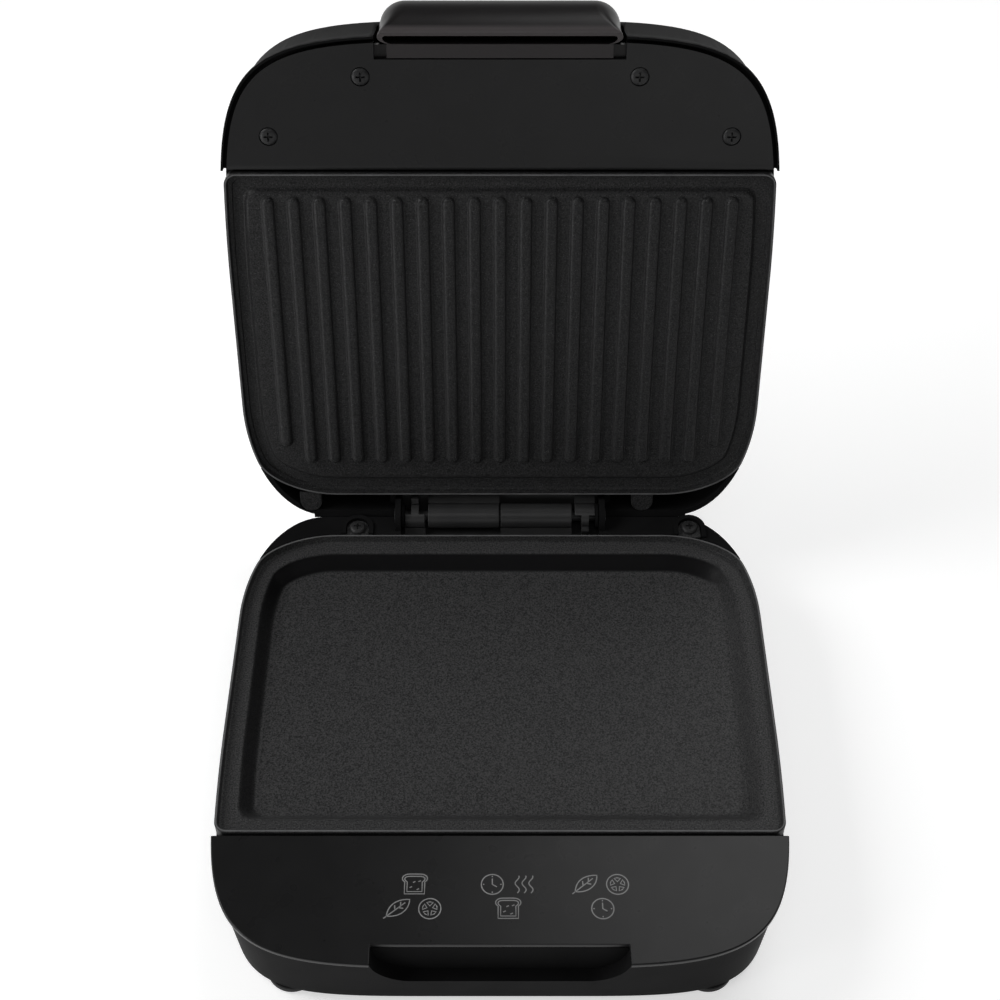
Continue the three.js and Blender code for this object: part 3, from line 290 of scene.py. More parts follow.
# Bottom of the base, feet and gland
BOTTOM_THICKNESS = 2.2
VENT_COUNT = 9
VENT_PITCH = 9.0
VENT_WIDTH = 3.0
VENT_LENGTH = 34.0
VENT_Y = 126.0
VENT_STEPS = 10
BOTTOM_SCREWS = [(s * x, -y) for x, y in ((100.0, 36.0), (92.0, 196.0)) for s in (-1, 1)]
BOTTOM_SCREW_RECESS = 1.2
FOOT_RADIUS = 11.0
FOOT_HEIGHT = 4.0
FOOT_DRAFT = 1.0
FOOT_PLUG_RADIUS = 3.0
FOOT_PLACES = [(x, -y) for y in (211.6, 19.0) for x in (-86.0, 86.0)]
FOOT_EDGE = 0.6
FOOT_DISH = 0.25
FOOT_DISH_SHARES = (0.55, 0.6)
GLAND_X = 70.0
GLAND_Z = 27.0
GLAND_BORE = 3.2
GLAND_NECK = 4.8
GLAND_FLANGE = 7.5
GLAND_FLANGE_THICKNESS = 2.0
GLAND_EDGE = 0.5
GLAND_MOUTH = 0.4

# Indicator lamps
LAMP_X = 9.0
LAMP_Y = 196.0
LAMP_RADIUS = 3.5
LAMP_RISE = 1.3
LAMP_STEM = 2.6
LAMP_STEM_LENGTH = 6.0
LAMP_DOME_SHARES = [(1, 0), (0.98, 0.3), (0.88, 0.6), (0.68, 0.83), (0.4, 0.96), (0, 1)]

# Rounding of the pieces' edges, and the angles from which an edge is rounded or shaded sharp
BASE_SOFT = 0.35
COVER_SOFT = 0.3
LUG_SOFT = 0.4
FINE_SOFT = 0.25
SOFT_DEGREES = 40.0
SHARP_DEGREES = 38.0

# Places worked out from the sizes above
COVER_REAR = BODY_DEPTH - COVER_DEPTH
LEDGE_TOP = PARTING_HALF + LIP_HEIGHT
FLANGE_UNDER = LEDGE_TOP + FLANGE_THICKNESS
WALL_TOP = FLANGE_UNDER + GAP
PAN_FLOOR = PARTING_HALF + PAN_DEPTH
PLATE_BELLY = PAN_FLOOR + PLATE_WALL
COVER_TOP = PARTING_HALF + COVER_DROP
COVER_UNDER = COVER_TOP + COVER_THICKNESS
SHELF = COVER_UNDER + GAP
FIELD_TOP = LEDGE_TOP - FIELD_RAISE
SLOPE_INSET = LIP_WIDTH + LEDGE_WIDTH + PAN_SLOPE
DECK_EDGE = REAR_DECK_DEPTH - GAP
LUG_TOP = PARTING_HALF + LUG_DROP
LUG_UNDER = LUG_TOP + LUG_THICKNESS
POCKET_FLOOR = STRAP_OUTER + GAP
BOTTOM_INSET = WALL + GAP
BOTTOM_TOP = BASE_HEIGHT - BOTTOM_THICKNESS
LEDGE_END = LIP_WIDTH + LEDGE_WIDTH
LUG_REACH = REAR_DECK_DEPTH + LEDGE_WIDTH
EAR_END = EAR_INNER + EAR_THICKNESS
PANEL_SCREW_SEAT = COVER_TOP + SCREW_HEAD_HEIGHT * PANEL_SCREW_SINK_SHARE
REAR_CORNER_X = BODY_HALF - REAR_CORNER_WIDTH
FRONT_CORNER_Y = FRONT_CORNER_DEPTH - BODY_DEPTH
OUTSIDE = -BODY_DEPTH - COVER_OVERHANG
MOUTH = OUTSIDE + HANDLE_MOUTH
NOTCH_BACK = OUTSIDE + HANDLE_NOTCH_DEPTH
FAR = BODY_HALF * 2
ALONG_X = Matrix(((0, 0, 1, 0), (1, 0, 0, 0), (0, 1, 0, 0), (0, 0, 0, 1)))
ALONG_Y = Matrix(((1, 0, 0, 0), (0, 0, -1, 0), (0, 1, 0, 0), (0, 0, 0, 1)))


# Solids, built in millimetres about the hinge axis with the grill closed
def new_object(bm, name="solid"):
    mesh = bpy.data.meshes.new(name)
    bm.to_mesh(mesh)
    bm.free()
    obj = bpy.data.objects.new(name, mesh)
    bpy.context.scene.collection.objects.link(obj)
    return obj


def drop(obj):
    mesh = obj.data
    bpy.data.objects.remove(obj)
    bpy.data.meshes.remove(mesh)


def signed_area(points):
    pairs = zip(points, points[1:] + points[:1])
    return sum(a[0] * b[1] - b[0] * a[1] for a, b in pairs) / 2


def bridged(bm, low, high):
    """Faces between two rings of vertices, one of which may be a single point."""
    count = max(len(low), len(high))
    for i in range(count):
        j = (i + 1) % count
        corners = [low[i % len(low)], low[j % len(low)], high[j % len(high)], high[i % len(high)]]
        bm.faces.new(dict.fromkeys(corners))


def loft(rings):
    """Closed solid through rings of equal count, each (points, z), with z rising."""
    if signed_area(rings[0][0]) < 0:
        rings = [(points[::-1], z) for points, z in rings]
    bm = bmesh.new()
    levels = [[bm.verts.new((x, y, z)) for x, y in points] for points, z in rings]
    for low, high in zip(levels, levels[1:]):
        bridged(bm, low, high)
    bm.faces.new(levels[0][::-1])
    bm.faces.new(levels[-1])
    return new_object(bm)


def prism(points, z0, z1):
    return loft([(points, z0), (points, z1)])


def box(x0, x1, y0, y1, z0, z1):
    return prism([(x0, y0), (x1, y0), (x1, y1), (x0, y1)], z0, z1)


def wide_box(half, y0, y1, z0, z1):
    return box(-half, half, y0, y1, z0, z1)


def arc(x, y, rx, ry, start, stop, steps):
    angles = [math.radians(start + (stop - start) * i / steps) for i in range(steps + 1)]
    return [(x + rx * math.cos(a), y + ry * math.sin(a)) for a in angles]


def circle(x, y, radius, count=ROUND_SIDES):
    return arc(x, y, radius, radius, 0, 360, count)[:-1]


def cylinder(x, y, z0, z1, radius, count=ROUND_SIDES):
    return prism(circle(x, y, radius, count), z0, z1)


def revolved(profile):
    """Turns a closed (radius, height) profile about a vertical axis; it may touch the axis."""
    bm = bmesh.new()
    rings = []
    for radius, z in profile:
        points = circle(0, 0, radius) if radius else [(0, 0)]
        rings.append([bm.verts.new((x, y, z)) for x, y in points])
    if len(rings[0]) > 1:
        rings.append(rings[0])
    for low, high in zip(rings, rings[1:]):
        bridged(bm, low, high)
    bmesh.ops.recalc_face_normals(bm, faces=bm.faces)
    return new_object(bm)


def moved(obj, x=0.0, y=0.0, z=0.0):
    obj.data.transform(Matrix.Translation((x, y, z)))
    return obj


def turned(obj, degrees, axis):
    obj.data.transform(Matrix.Rotation(math.radians(degrees), 4, axis))
    return obj


def upright(obj, matrix):
    """Turns a solid that was drawn flat, so that its height runs along another axis."""
    obj.data.transform(matrix)
    return obj


def flipped(obj, axis=(0, 0, 1)):
    obj.data.transform(Matrix.Scale(-1, 4, axis))
    obj.data.flip_normals()
    return obj


def across_hinge(points, x0, x1):
    """Carries a (y, z) outline along X."""
    return upright(prism(points, x0, x1), ALONG_X)


def axle(x0, x1, radius, count=AXLE_SIDES, chamfer=0.0):
    stations = [(x0, radius), (x1, radius)]
    if chamfer:
        small = radius - chamfer
        stations = [(x0, small), (x0 + chamfer, radius), (x1 - chamfer, radius), (x1, small)]
    return upright(loft([(circle(0, 0, r, count), x) for x, r in stations]), ALONG_X)


def evaluated(obj):
    """Replaces an object's mesh by what its modifiers make of it."""
    dg = bpy.context.evaluated_depsgraph_get()
    mesh = bpy.data.meshes.new_from_object(obj.evaluated_get(dg))
    old = obj.data
    obj.modifiers.clear()
    obj.data = mesh
    bpy.data.meshes.remove(old)
    return obj


def combined(target, tools, operation):
    for tool in tools:
        modifier = target.modifiers.new("combine", "BOOLEAN")
        modifier.operation = operation
        modifier.solver = "MANIFOLD"
        modifier.object = tool
        evaluated(target)
        drop(tool)
    return target


def cut(target, tools):
    return combined(target, tools, "DIFFERENCE")


def joined(parts):
    return combined(parts[0], parts[1:], "UNION")


def common(target, tool):
    return combined(target, [tool], "INTERSECT")


def softened(obj, width, segments=2):
    """Rounds the sharp edges."""
    modifier = obj.modifiers.new("round", "BEVEL")
    modifier.width = width
    modifier.segments = segments
    modifier.limit_method = "ANGLE"
    modifier.angle_limit = math.radians(SOFT_DEGREES)
    return evaluated(obj)


def marked(obj, name, amount):
    """Gives every vertex a value, worked out by a function, for the materials to read."""
    layer = obj.data.attributes.new(name, "FLOAT", "POINT")
    for vertex in obj.data.vertices:
        layer.data[vertex.index].value = amount(vertex)
    return obj


# Outlines
def mirrored(right):
    return right + [(-x, y) for x, y in reversed(right)]


def fillet(radius, turns):
    """How far a rounded edge is drawn in, and how far it falls, at each angle in degrees."""
    angles = [math.radians(turn) for turn in turns]
    return [(radius * (1 - math.sin(a)), radius * (1 - math.cos(a))) for a in angles]


def bezier(p0, p1, p2, p3, steps):
    spots = []
    for i in range(steps + 1):
        t = i / steps
        weights = ((1 - t) ** 3, 3 * t * (1 - t) ** 2, 3 * t * t * (1 - t), t ** 3)
        spots.append(tuple(sum(w * p[k] for w, p in zip(weights, (p0, p1, p2, p3))) for k in (0, 1)))
    return spots


def housing_plan(side, front_inset, rear_inset, side_share, front_share):
    reach = BODY_HALF - side
    rear = -rear_inset
    front = -BODY_DEPTH + front_inset
    front_x = BODY_HALF - FRONT_CORNER_WIDTH
    back = arc(
        REAR_CORNER_X, -REAR_CORNER_DEPTH, reach - REAR_CORNER_X, rear + REAR_CORNER_DEPTH, 90, 0, REAR_STEPS)
    nose = bezier(
        (reach, FRONT_CORNER_Y), (reach, FRONT_CORNER_Y - side_share * (FRONT_CORNER_Y - front)),
        (front_x + front_share * (reach - front_x), front), (front_x, front), FRONT_STEPS)
    return mirrored(back + nose)


def even_plan(inset):
    return housing_plan(inset, inset, inset, TOP_SIDE_SHARE, TOP_FRONT_SHARE)


def even_loft(rows):
    """Solid through the housing's outline, each row an inset and a height."""
    return loft([(even_plan(inset), z) for inset, z in rows])


def bottom_plan(extra):
    return housing_plan(
        BASE_SIDE_TAPER + extra, BASE_FRONT_TAPER + extra, BASE_REAR_TAPER + extra,
        BOTTOM_SIDE_SHARE, BOTTOM_FRONT_SHARE)


def plate_plan(inset, radius):
    reach = BODY_HALF - inset
    rear = -REAR_DECK_DEPTH - inset
    front = -PLATE_FRONT + inset
    side_x = PLATE_SIDE_HALF - inset
    a = math.radians(BLEND_DEGREES)
    rx, ry = reach - REAR_CORNER_X, REAR_CORNER_DEPTH - inset
    back = arc(REAR_CORNER_X, -REAR_CORNER_DEPTH, rx, ry, BLEND_DEGREES, 0, PLATE_REAR_STEPS)
    end = back[0]
    slope = Vector((-rx * math.sin(a), ry * math.cos(a))).normalized()
    pull = BLEND_END_SHARE * (rear - end[1])
    turn = bezier(
        (PLATE_REAR_FLAT, rear), (PLATE_REAR_FLAT + BLEND_START_SHARE * (end[0] - PLATE_REAR_FLAT), rear),
        (end[0] + slope.x * pull, end[1] + slope.y * pull), end, PLATE_TURN_STEPS)
    low = front + radius
    handle_y = FRONT_CORNER_Y + PLATE_SIDE_SHARE * (low - FRONT_CORNER_Y)
    side = []
    for i in range(1, PLATE_SIDE_STEPS + 1):
        t = i / PLATE_SIDE_STEPS
        side.append((
            reach * (1 - t) ** 2 + 2 * t * (1 - t) * reach + t * t * side_x,
            FRONT_CORNER_Y * (1 - t) ** 2 + 2 * t * (1 - t) * handle_y + t * t * low))
    corner = arc(side_x - radius, low, radius, radius, 0, -90, PLATE_CORNER_STEPS)
    return mirrored(turn + back[1:] + side + corner[1:])


def lug_points(x, radius, reach):
    end = arc(x, -LUG_CENTRE, radius, radius, 0, 180, LUG_STEPS)
    return end + [(x - radius, -reach), (x + radius, -reach)]


def slot_points(x, radius, rear, front, steps):
    """A long hole or bar with round ends, running along Y."""
    return arc(x, rear, radius, radius, 0, 180, steps) + arc(x, front, radius, radius, 180, 360, steps)


def lug_places(sign):
    return [-sign * LUG_NEAR, sign * LUG_FAR]


# Base housing
def base_rings(inset, extra):
    rings = [(bottom_plan(inset + BOTTOM_ROUND), -BASE_HEIGHT - extra)]
    if extra == 0:
        for drawn, fall in fillet(BOTTOM_ROUND, (30, 60)):
            rings.append((bottom_plan(inset + drawn), -BASE_HEIGHT + fall))
    return rings + [(bottom_plan(inset), -BASE_HEIGHT + BOTTOM_ROUND), (even_plan(inset), -COVER_TOP - WALL)]


def scoop_points(grow):
    top = OVERRUN * 2
    floor = -SCOOP_DROP - COVER_TOP - grow
    side = SCOOP_HALF + grow
    flat = SCOOP_FLOOR_HALF + grow
    shoulder = -COVER_UNDER
    middle = (shoulder + floor) / 2
    right = bezier((flat, floor), ((side + flat) / 2, floor), (side, middle), (side, shoulder), SCOOP_STEPS)
    left = [(-x, z) for x, z in reversed(right)]
    return right + [(side, top), (-side, top)] + left


def scoop(grow):
    """Drawn in (x, z) and carried along Y."""
    back = -BODY_DEPTH - COVER_OVERHANG + COVER_DROP + SCOOP_DEPTH + grow
    return upright(prism(scoop_points(grow), -back, BODY_DEPTH + OVERRUN * 2), ALONG_Y)


def base_outer():
    return loft(base_rings(0, 0) + [(even_plan(0), -COVER_TOP)])


def into_rear_wall(obj):
    slope = math.atan(BASE_REAR_TAPER / (BASE_HEIGHT - BOTTOM_ROUND - COVER_TOP - WALL))
    inset = (GLAND_Z - COVER_TOP - WALL) * math.tan(slope)
    turned(obj, -90 - math.degrees(slope), "X")
    return moved(obj, GLAND_X, -inset, -GLAND_Z)


def plate_well():
    """Room for a plate: its outline at the rear, and the full width further forward."""
    rear = prism(plate_plan(-GAP, PLATE_CORNER_RADIUS), -WALL_TOP, FAR)
    return joined([rear, wide_box(FAR, -COVER_REAR, -REAR_CORNER_DEPTH, -WALL_TOP, FAR)])


def lug_prisms(sign, radius, reach, z0, z1):
    return [prism(lug_points(x, radius, reach), z0, z1) for x in lug_places(sign)]


def lug_pockets(sign):
    return lug_prisms(sign, LUG_RADIUS + GAP, LUG_REACH, -LUG_UNDER - GAP, BOSS_DEPTH)


def screw_hole(x, y, bottom):
    return cylinder(x, y, bottom, 0, SCREW_HOLE_RADIUS, HOLE_SIDES)


def pin_bore():
    return axle(-PIN_HALF - GAP, PIN_HALF + GAP, PIN_RADIUS + GAP)


def base_housing():
    collars = lug_prisms(1, LUG_RADIUS + GAP + COLLAR_WALL, REAR_DECK_DEPTH + OVERRUN,
                         -COVER_TOP - BOSS_DEPTH, -COVER_TOP + COLLAR_RISE)
    ring = cut(joined([cut(base_outer(), [loft(base_rings(WALL, OVERRUN))]), *collars]), [
        plate_well(),
        wide_box(FAR, -BODY_DEPTH - OVERRUN, -COVER_REAR + OVERRUN, -SHELF, FAR)])
    partition = common(
        wide_box(BODY_HALF, -COVER_REAR - WALL, -COVER_REAR, -BOSS_DEPTH - WALL, -SHELF), base_outer())
    walls = cut(common(scoop(WALL), base_outer()), [
        wide_box(BODY_HALF, -BODY_DEPTH - OVERRUN, 0, -SHELF, OVERRUN * 3)])
    block = wide_box(EAR_END, -DECK_EDGE, 0, -POCKET_FLOOR - WALL, -COVER_TOP)
    ears = [axle(-EAR_END, -EAR_INNER, EAR_RADIUS), axle(EAR_INNER, EAR_END, EAR_RADIUS)]
    body = joined([ring, partition, walls, block, *ears])
    tools = [scoop(0), wide_box(EAR_INNER, -DECK_EDGE - OVERRUN, STRAP_FRONT, -POCKET_FLOOR, FAR)]
    tools += lug_pockets(1)
    for x in lug_places(1):
        tools.append(screw_hole(x, -LUG_CENTRE, -COVER_TOP - BOSS_DEPTH + WALL))
    tools.append(into_rear_wall(cylinder(0, 0, -WALL * 2, WALL * 2, GLAND_NECK + GAP)))
    tools.append(pin_bore())
    return softened(cut(body, tools), BASE_SOFT)


def base_cover():
    turns = (0, 30, 60, 90)
    edge = [(COVER_SLACK - COVER_OVERHANG + drawn, fall) for drawn, fall in fillet(COVER_EDGE, turns)]
    rows = [(inset, -COVER_UNDER + fall) for inset, fall in edge]
    rows += [(inset, -COVER_TOP - fall) for inset, fall in reversed(edge)]
    behind = wide_box(FAR, -COVER_REAR - GAP, FAR, -FAR, FAR)
    return softened(cut(even_loft(rows), [behind, scoop(0)]), COVER_SOFT)


# Cooking plates
def plate_rings(sections):
    return [(plate_plan(inset, radius), -depth) for inset, depth, radius in sections]


def offset(inset, depth, rows):
    """Rows of a profile, moved to the edge that they are measured from."""
    return [(inset + across, depth + down, radius) for across, down, radius in rows]


def plate_lugs(sign):
    tabs = []
    for x in lug_places(sign):
        tab = prism(lug_points(x, LUG_RADIUS, LUG_REACH), -LUG_UNDER, -LUG_TOP)
        if sign > 0:
            cut(tab, [screw_hole(x, -LUG_CENTRE, -FLANGE_UNDER - OVERRUN)])
        cut(tab, [wide_box(FAR, -FAR, -REAR_DECK_DEPTH - LIP_WIDTH, -LEDGE_TOP, OVERRUN)])
        tabs.append(softened(tab, LUG_SOFT))
    return tabs


def flange_solid(belly):
    """Outside of a plate: its belly, if it has one, the flange and an edge rounded at the lip."""
    sections = belly + [(0, FLANGE_UNDER, PLATE_CORNER_RADIUS)]
    for drawn, fall in fillet(PLATE_EDGE, (0, 30, 60, 90)):
        sections.append((fall, PARTING_HALF + drawn, PLATE_CORNER_RADIUS))
    return loft(plate_rings(sections))


def lip_crest():
    rows = offset(LIP_WIDTH, PARTING_HALF, LIP_CREST)
    return rows + [(rows[-1][0], -OVERRUN, rows[-1][2])]


def lower_plate():
    outer = flange_solid([
        (SLOPE_INSET - PLATE_WALL / 2, PLATE_BELLY, PLATE_CORNER_RADIUS),
        (LEDGE_END - PLATE_WALL, FLANGE_UNDER, PLATE_CORNER_RADIUS)])
    pan = loft(plate_rings(
        offset(SLOPE_INSET, PAN_FLOOR, PAN_FOOT) + offset(LEDGE_END, LEDGE_TOP, PAN_BROW)
        + offset(LIP_WIDTH, LEDGE_TOP, PAN_LIP_FOOT) + lip_crest()))
    plate = joined([cut(outer, [pan]), *plate_lugs(1)])
    # Painted highlight on the lip's crest, partly wear, and painted shade on the pan's rear and left walls
    return marked(marked(plate, "wear_and_highlight", rim_wear_and_highlight), "wall_shade", painted_wall_shade)


def rib(x, rear):
    """A bar with round ends and a rounded crest."""
    half = RIB_WIDTH / 2
    rings = []
    for grow, lift in RIB_SECTION:
        points = slot_points(x, half + grow, -rear - half, -RIB_FRONT + half, RIB_END_STEPS)
        rings.append((points, -FIELD_TOP + lift))
    return loft(rings)


def upper_plate():
    well = loft(plate_rings(
        offset(STEP_INSET, LEDGE_TOP, STEP_EDGE) + offset(LIP_WIDTH, LEDGE_TOP, STEP_LIP_FOOT) + lip_crest()))
    edge = [(across, down, PLATE_CORNER_RADIUS) for across, down in FIELD_EDGE]
    field = loft(plate_rings(offset(LEDGE_END, LEDGE_TOP, edge)))
    ribs = []
    for index in range(RIB_COUNT):
        outermost = index in (0, RIB_COUNT - 1)
        place = index - (RIB_COUNT - 1) / 2
        ribs.append(rib(place * RIB_PITCH, OUTER_RIB_REAR if outermost else RIB_REAR))
    plate = joined([cut(flange_solid([]), [well]), field, *ribs, *plate_lugs(-1)])
    # Painted highlight on the lip's crest, partly wear
    return marked(plate, "wear_and_highlight", rim_wear_and_highlight)


def rim_wear_and_highlight(vertex):
    """The lip's crest is painted pale outside the cooking area: a painted highlight, partly the coating worn
    thin.
    """
    x, y, z = vertex.co
    cooking = (abs(x) < RIB_PITCH * RIB_COUNT / 2 - GAP
               and -RIB_FRONT - WEAR_AND_HIGHLIGHT_MARGIN < y < -RIB_REAR + WEAR_AND_HIGHLIGHT_MARGIN)
    return 1.0 if abs(z + PARTING_HALF) < CREST_DEPTH and not cooking else 0.0


def painted_wall_shade(vertex):
    """Painted shade on the pan's rear and left walls, strongest where they face the front and the right."""
    if not -PAN_FLOOR + WALL_SHADE_MARGIN < vertex.co.z < -LEDGE_TOP - WALL_SHADE_MARGIN:
        return 0.0
    rear = REAR_WALL_SHADE * max(0.0, -vertex.normal.y)
    return min(1.0, rear + LEFT_WALL_SHADE * max(0.0, vertex.normal.x))


# Lid housing
def shrunk(points, share):
    return [(x * share, (y + BODY_HALF) * share - BODY_HALF) for x, y in points]


def lid_rings(inset, extra):
    rise = LID_HEIGHT - LID_CROWN - LID_WALL_HEIGHT
    rounds = []
    for share in LID_ROUND_SHARES:
        a = share * math.pi / 2
        rounds.append((
            even_plan(LID_TAPER + LID_ROUND * (1 - math.cos(a)) + inset),
            -(LID_WALL_HEIGHT + rise * math.sin(a)) + inset))
    rim = rounds[-1][0]
    crown = [
        (shrunk(rim, share), -LID_HEIGHT + LID_CROWN * share * share + inset) for share in LID_CROWN_SHARES]
    return crown + rounds[::-1] + [
        (even_plan(LID_TAPER + inset), -LID_WALL_HEIGHT), (even_plan(inset), -COVER_TOP + extra)]


def rear_beads():
    """Thin beads on the rear edge that close the slit behind the deck when the lid stands open."""
    foot, face = -COVER_TOP - REAR_BEAD_HEIGHT, -COVER_TOP - REAR_BEAD_FACE
    section = [
        (-REAR_BEAD_ROOT, foot), (0.0, foot), (REAR_BEAD, face), (REAR_BEAD, -COVER_TOP),
        (-REAR_BEAD_ROOT, -COVER_TOP)]
    places = ((REAR_BEAD_INNER, REAR_BEAD_OUTER), (-REAR_BEAD_OUTER, -REAR_BEAD_INNER))
    return [across_hinge(section, x0, x1) for x0, x1 in places]


def lid_housing():
    outer = loft(lid_rings(0, 0))
    front_half = (FAR, -BODY_DEPTH * 2, -COVER_REAR, -FAR, FAR)
    flare = common(even_loft([
        (LID_TAPER / 2 + GAP, -LID_WALL_HEIGHT / 2), (-COVER_OVERHANG, -COVER_UNDER),
        (-COVER_OVERHANG, -COVER_TOP)]), wide_box(*front_half))
    flare_hollow = common(even_loft([
        (WALL + LID_TAPER / 2, -LID_WALL_HEIGHT / 2 - OVERRUN), (WALL - COVER_OVERHANG, -COVER_UNDER - GAP),
        (WALL - COVER_OVERHANG, OVERRUN)]), wide_box(*front_half))
    hood = cut(joined([outer, flare]), [loft(lid_rings(WALL, OVERRUN)), flare_hollow, plate_well()])
    partition = common(
        wide_box(BODY_HALF, -COVER_REAR - WALL, -COVER_REAR, -BOSS_DEPTH, -SHELF), loft(lid_rings(0, 0)))
    side = LID_POCKET_HALF + WALL
    block = wide_box(side, -DECK_EDGE - WALL, -WEB_THICKNESS, -POCKET_FLOOR - WALL, -POCKET_FLOOR)
    cheeks = [
        box(x, x + WALL, -DECK_EDGE - WALL, -WEB_THICKNESS, -LID_HEIGHT + LID_ROUND, -WALL_TOP)
        for x in (-side, LID_POCKET_HALF)]
    posts = []
    for index, (x, y) in enumerate(PANEL_SCREWS):
        top = -SHELF - HANDLE_FLANGE_THICKNESS - GAP if index < 2 else -SHELF
        posts.append(cylinder(x, y, -LID_HEIGHT + WALL, top, POST_RADIUS, HOLE_SIDES))
    body = joined([hood, partition, block, *cheeks, *posts, *rear_beads()])
    rim = even_plan(RIM_WALL - COVER_OVERHANG)
    seat = even_plan(PANEL_INSET - COVER_OVERHANG + PANEL_SEAT_SLACK)
    groove = common(cut(
        prism(rim, -COVER_TOP - RIM_GROOVE_DEPTH, OVERRUN), [prism(seat, -LID_HEIGHT, OVERRUN * 2)]),
        wide_box(*front_half))
    cut(body, [groove])
    tools = lug_pockets(-1) + [
        wide_box(LID_POCKET_HALF, -DECK_EDGE - OVERRUN, OVERRUN, -POCKET_FLOOR, FAR),
        wide_box(HANDLE_NOTCH_HALF, -BODY_DEPTH * 2, -BODY_DEPTH + HANDLE_BACK_WALL + WALL,
                 -HANDLE_HEIGHT - COVER_TOP - GAP, OVERRUN)]
    tools += [screw_hole(x, y, -COVER_UNDER - BOSS_DEPTH) for x, y in PANEL_SCREWS]
    low, high = -LID_HEIGHT - OVERRUN, -LID_HEIGHT + WALL * 3
    tools += [cylinder(x, -LAMP_Y, low, high, LAMP_STEM + GAP, HOLE_SIDES) for x in (-LAMP_X, LAMP_X)]
    return softened(cut(body, tools), FINE_SOFT)


def lid_panel():
    plate = prism(even_plan(PANEL_INSET - COVER_OVERHANG), -COVER_UNDER, -COVER_TOP)
    edge = -COVER_REAR - GAP - PANEL_BEVEL_WIDTH
    fall = PANEL_BEVEL_DROP * (1 + (OVERRUN + GAP) / PANEL_BEVEL_WIDTH)
    bevel = across_hinge([
        (edge, -COVER_TOP), (-COVER_REAR + OVERRUN, -COVER_TOP - fall), (-COVER_REAR + OVERRUN, OVERRUN),
        (edge, OVERRUN)], -FAR, FAR)
    notch = wide_box(HANDLE_NOTCH_HALF, -FAR * 2, NOTCH_BACK, -FAR, FAR)
    tools = [wide_box(FAR, -COVER_REAR - GAP, FAR, -FAR, FAR), bevel, notch]
    for x, y in PANEL_SCREWS:
        tools.append(cylinder(x, y, -COVER_UNDER - OVERRUN, 0, SCREW_HOLE_RADIUS))
        tools.append(cylinder(x, y, -PANEL_SCREW_SEAT, 0, SCREW_HEAD_RADIUS + GAP))
    return softened(cut(plate, tools), COVER_SOFT)


# Handle
def handle_plan(front, back, inset, heel, steps):
    """Outline of the cup, its rear corners drawn in by the heel, its front corners round."""
    edge = HANDLE_HALF - inset
    rise = heel * HEEL_SHARE
    radius = min(HANDLE_CORNER - inset, back - front - rise - GAP / 3)
    turn = arc(edge - radius, front + radius, radius, radius, 0, -90, steps)
    return mirrored(arc(edge - heel, back - rise, heel, rise, 90, 0, HEEL_STEPS) + turn)


def handle():
    rings = []
    for height, reach, heel in HANDLE_PROFILE:
        front = OUTSIDE - HANDLE_LIP - (HANDLE_REACH - HANDLE_LIP) * reach
        edge = GAP if height == 1 else 0
        points = handle_plan(front, MOUTH, edge, heel, HANDLE_STEPS)
        rings.append((points, -COVER_TOP - HANDLE_HEIGHT * height))
    hollow = [(handle_plan(OUTSIDE, MOUTH, HANDLE_SKIN, HANDLE_HOLLOW[0][2], 2), OVERRUN)]
    for height, reach, heel in HANDLE_HOLLOW:
        front = OUTSIDE - (HANDLE_REACH - HANDLE_SKIN) * reach
        hollow.append((handle_plan(front, MOUTH, HANDLE_SKIN, heel, 2), -COVER_TOP - HANDLE_HEIGHT * height))
    cup = cut(loft(rings[::-1]), [loft(hollow[::-1])])
    back = wide_box(
        HANDLE_FOOT_HALF, MOUTH - GAP, MOUTH + HANDLE_BACK_WALL, -COVER_TOP - HANDLE_HEIGHT, -COVER_TOP)
    foot = wide_box(HANDLE_FOOT_HALF, MOUTH, NOTCH_BACK - GAP * 2, -COVER_UNDER, -COVER_TOP)
    flange = common(
        wide_box(HANDLE_FLANGE_HALF, MOUTH, MOUTH + HANDLE_FLANGE_DEPTH,
                 -SHELF - HANDLE_FLANGE_THICKNESS, -SHELF),
        prism(even_plan(WALL + GAP), -LID_HEIGHT, OVERRUN))
    step = wide_box(HANDLE_FOOT_HALF, MOUTH, NOTCH_BACK - GAP, -SHELF - GAP, -COVER_UNDER + GAP)
    body = joined([cup, back, foot, step, flange])
    cut(body, [screw_hole(x, y, -SHELF - BOSS_DEPTH) for x, y in PANEL_SCREWS[:2]])
    # Painted highlight on the lip and the foot's edge, partly rubbing too
    return marked(softened(body, COVER_SOFT, 3), "rub_and_highlight", edge_rub_and_highlight)


def edge_rub_and_highlight(vertex):
    """The handle's lip and the foot's edge are painted pale: a painted highlight, partly rubbing by fingers
    and the lid's edge too.
    """
    lip = vertex.co.y < MOUTH - GAP * 2
    depth = LIP_RUB_AND_HIGHLIGHT_DEPTH if lip else FOOT_RUB_AND_HIGHLIGHT_DEPTH
    if vertex.co.z <= -COVER_TOP - depth or abs(vertex.co.x) >= HANDLE_HALF + GAP:
        return 0.0
    return 1.0 if lip else FOOT_RUB_AND_HIGHLIGHT


# Hinge
def strap_points():
    meet = OPEN / 2 + GAP / (STRAP_INNER + STRAP_OUTER)
    return [
        (-STRAP_FRONT, -STRAP_OUTER), (STRAP_OUTER / math.tan(meet), -STRAP_OUTER),
        (STRAP_INNER / math.tan(meet), -STRAP_INNER), (-STRAP_FRONT, -STRAP_INNER)]


def knuckle(x0, x1):
    web = [
        (-STRAP_FRONT, -STRAP_INNER - GAP), (BARREL_RADIUS / 2, -STRAP_INNER - GAP),
        (BARREL_RADIUS / 2, -PIN_RADIUS), (-BARREL_RADIUS + GAP, -PIN_RADIUS)]
    return joined([axle(x0, x1, BARREL_RADIUS, BARREL_SIDES, BARREL_CHAMFER), across_hinge(web, x0, x1)])


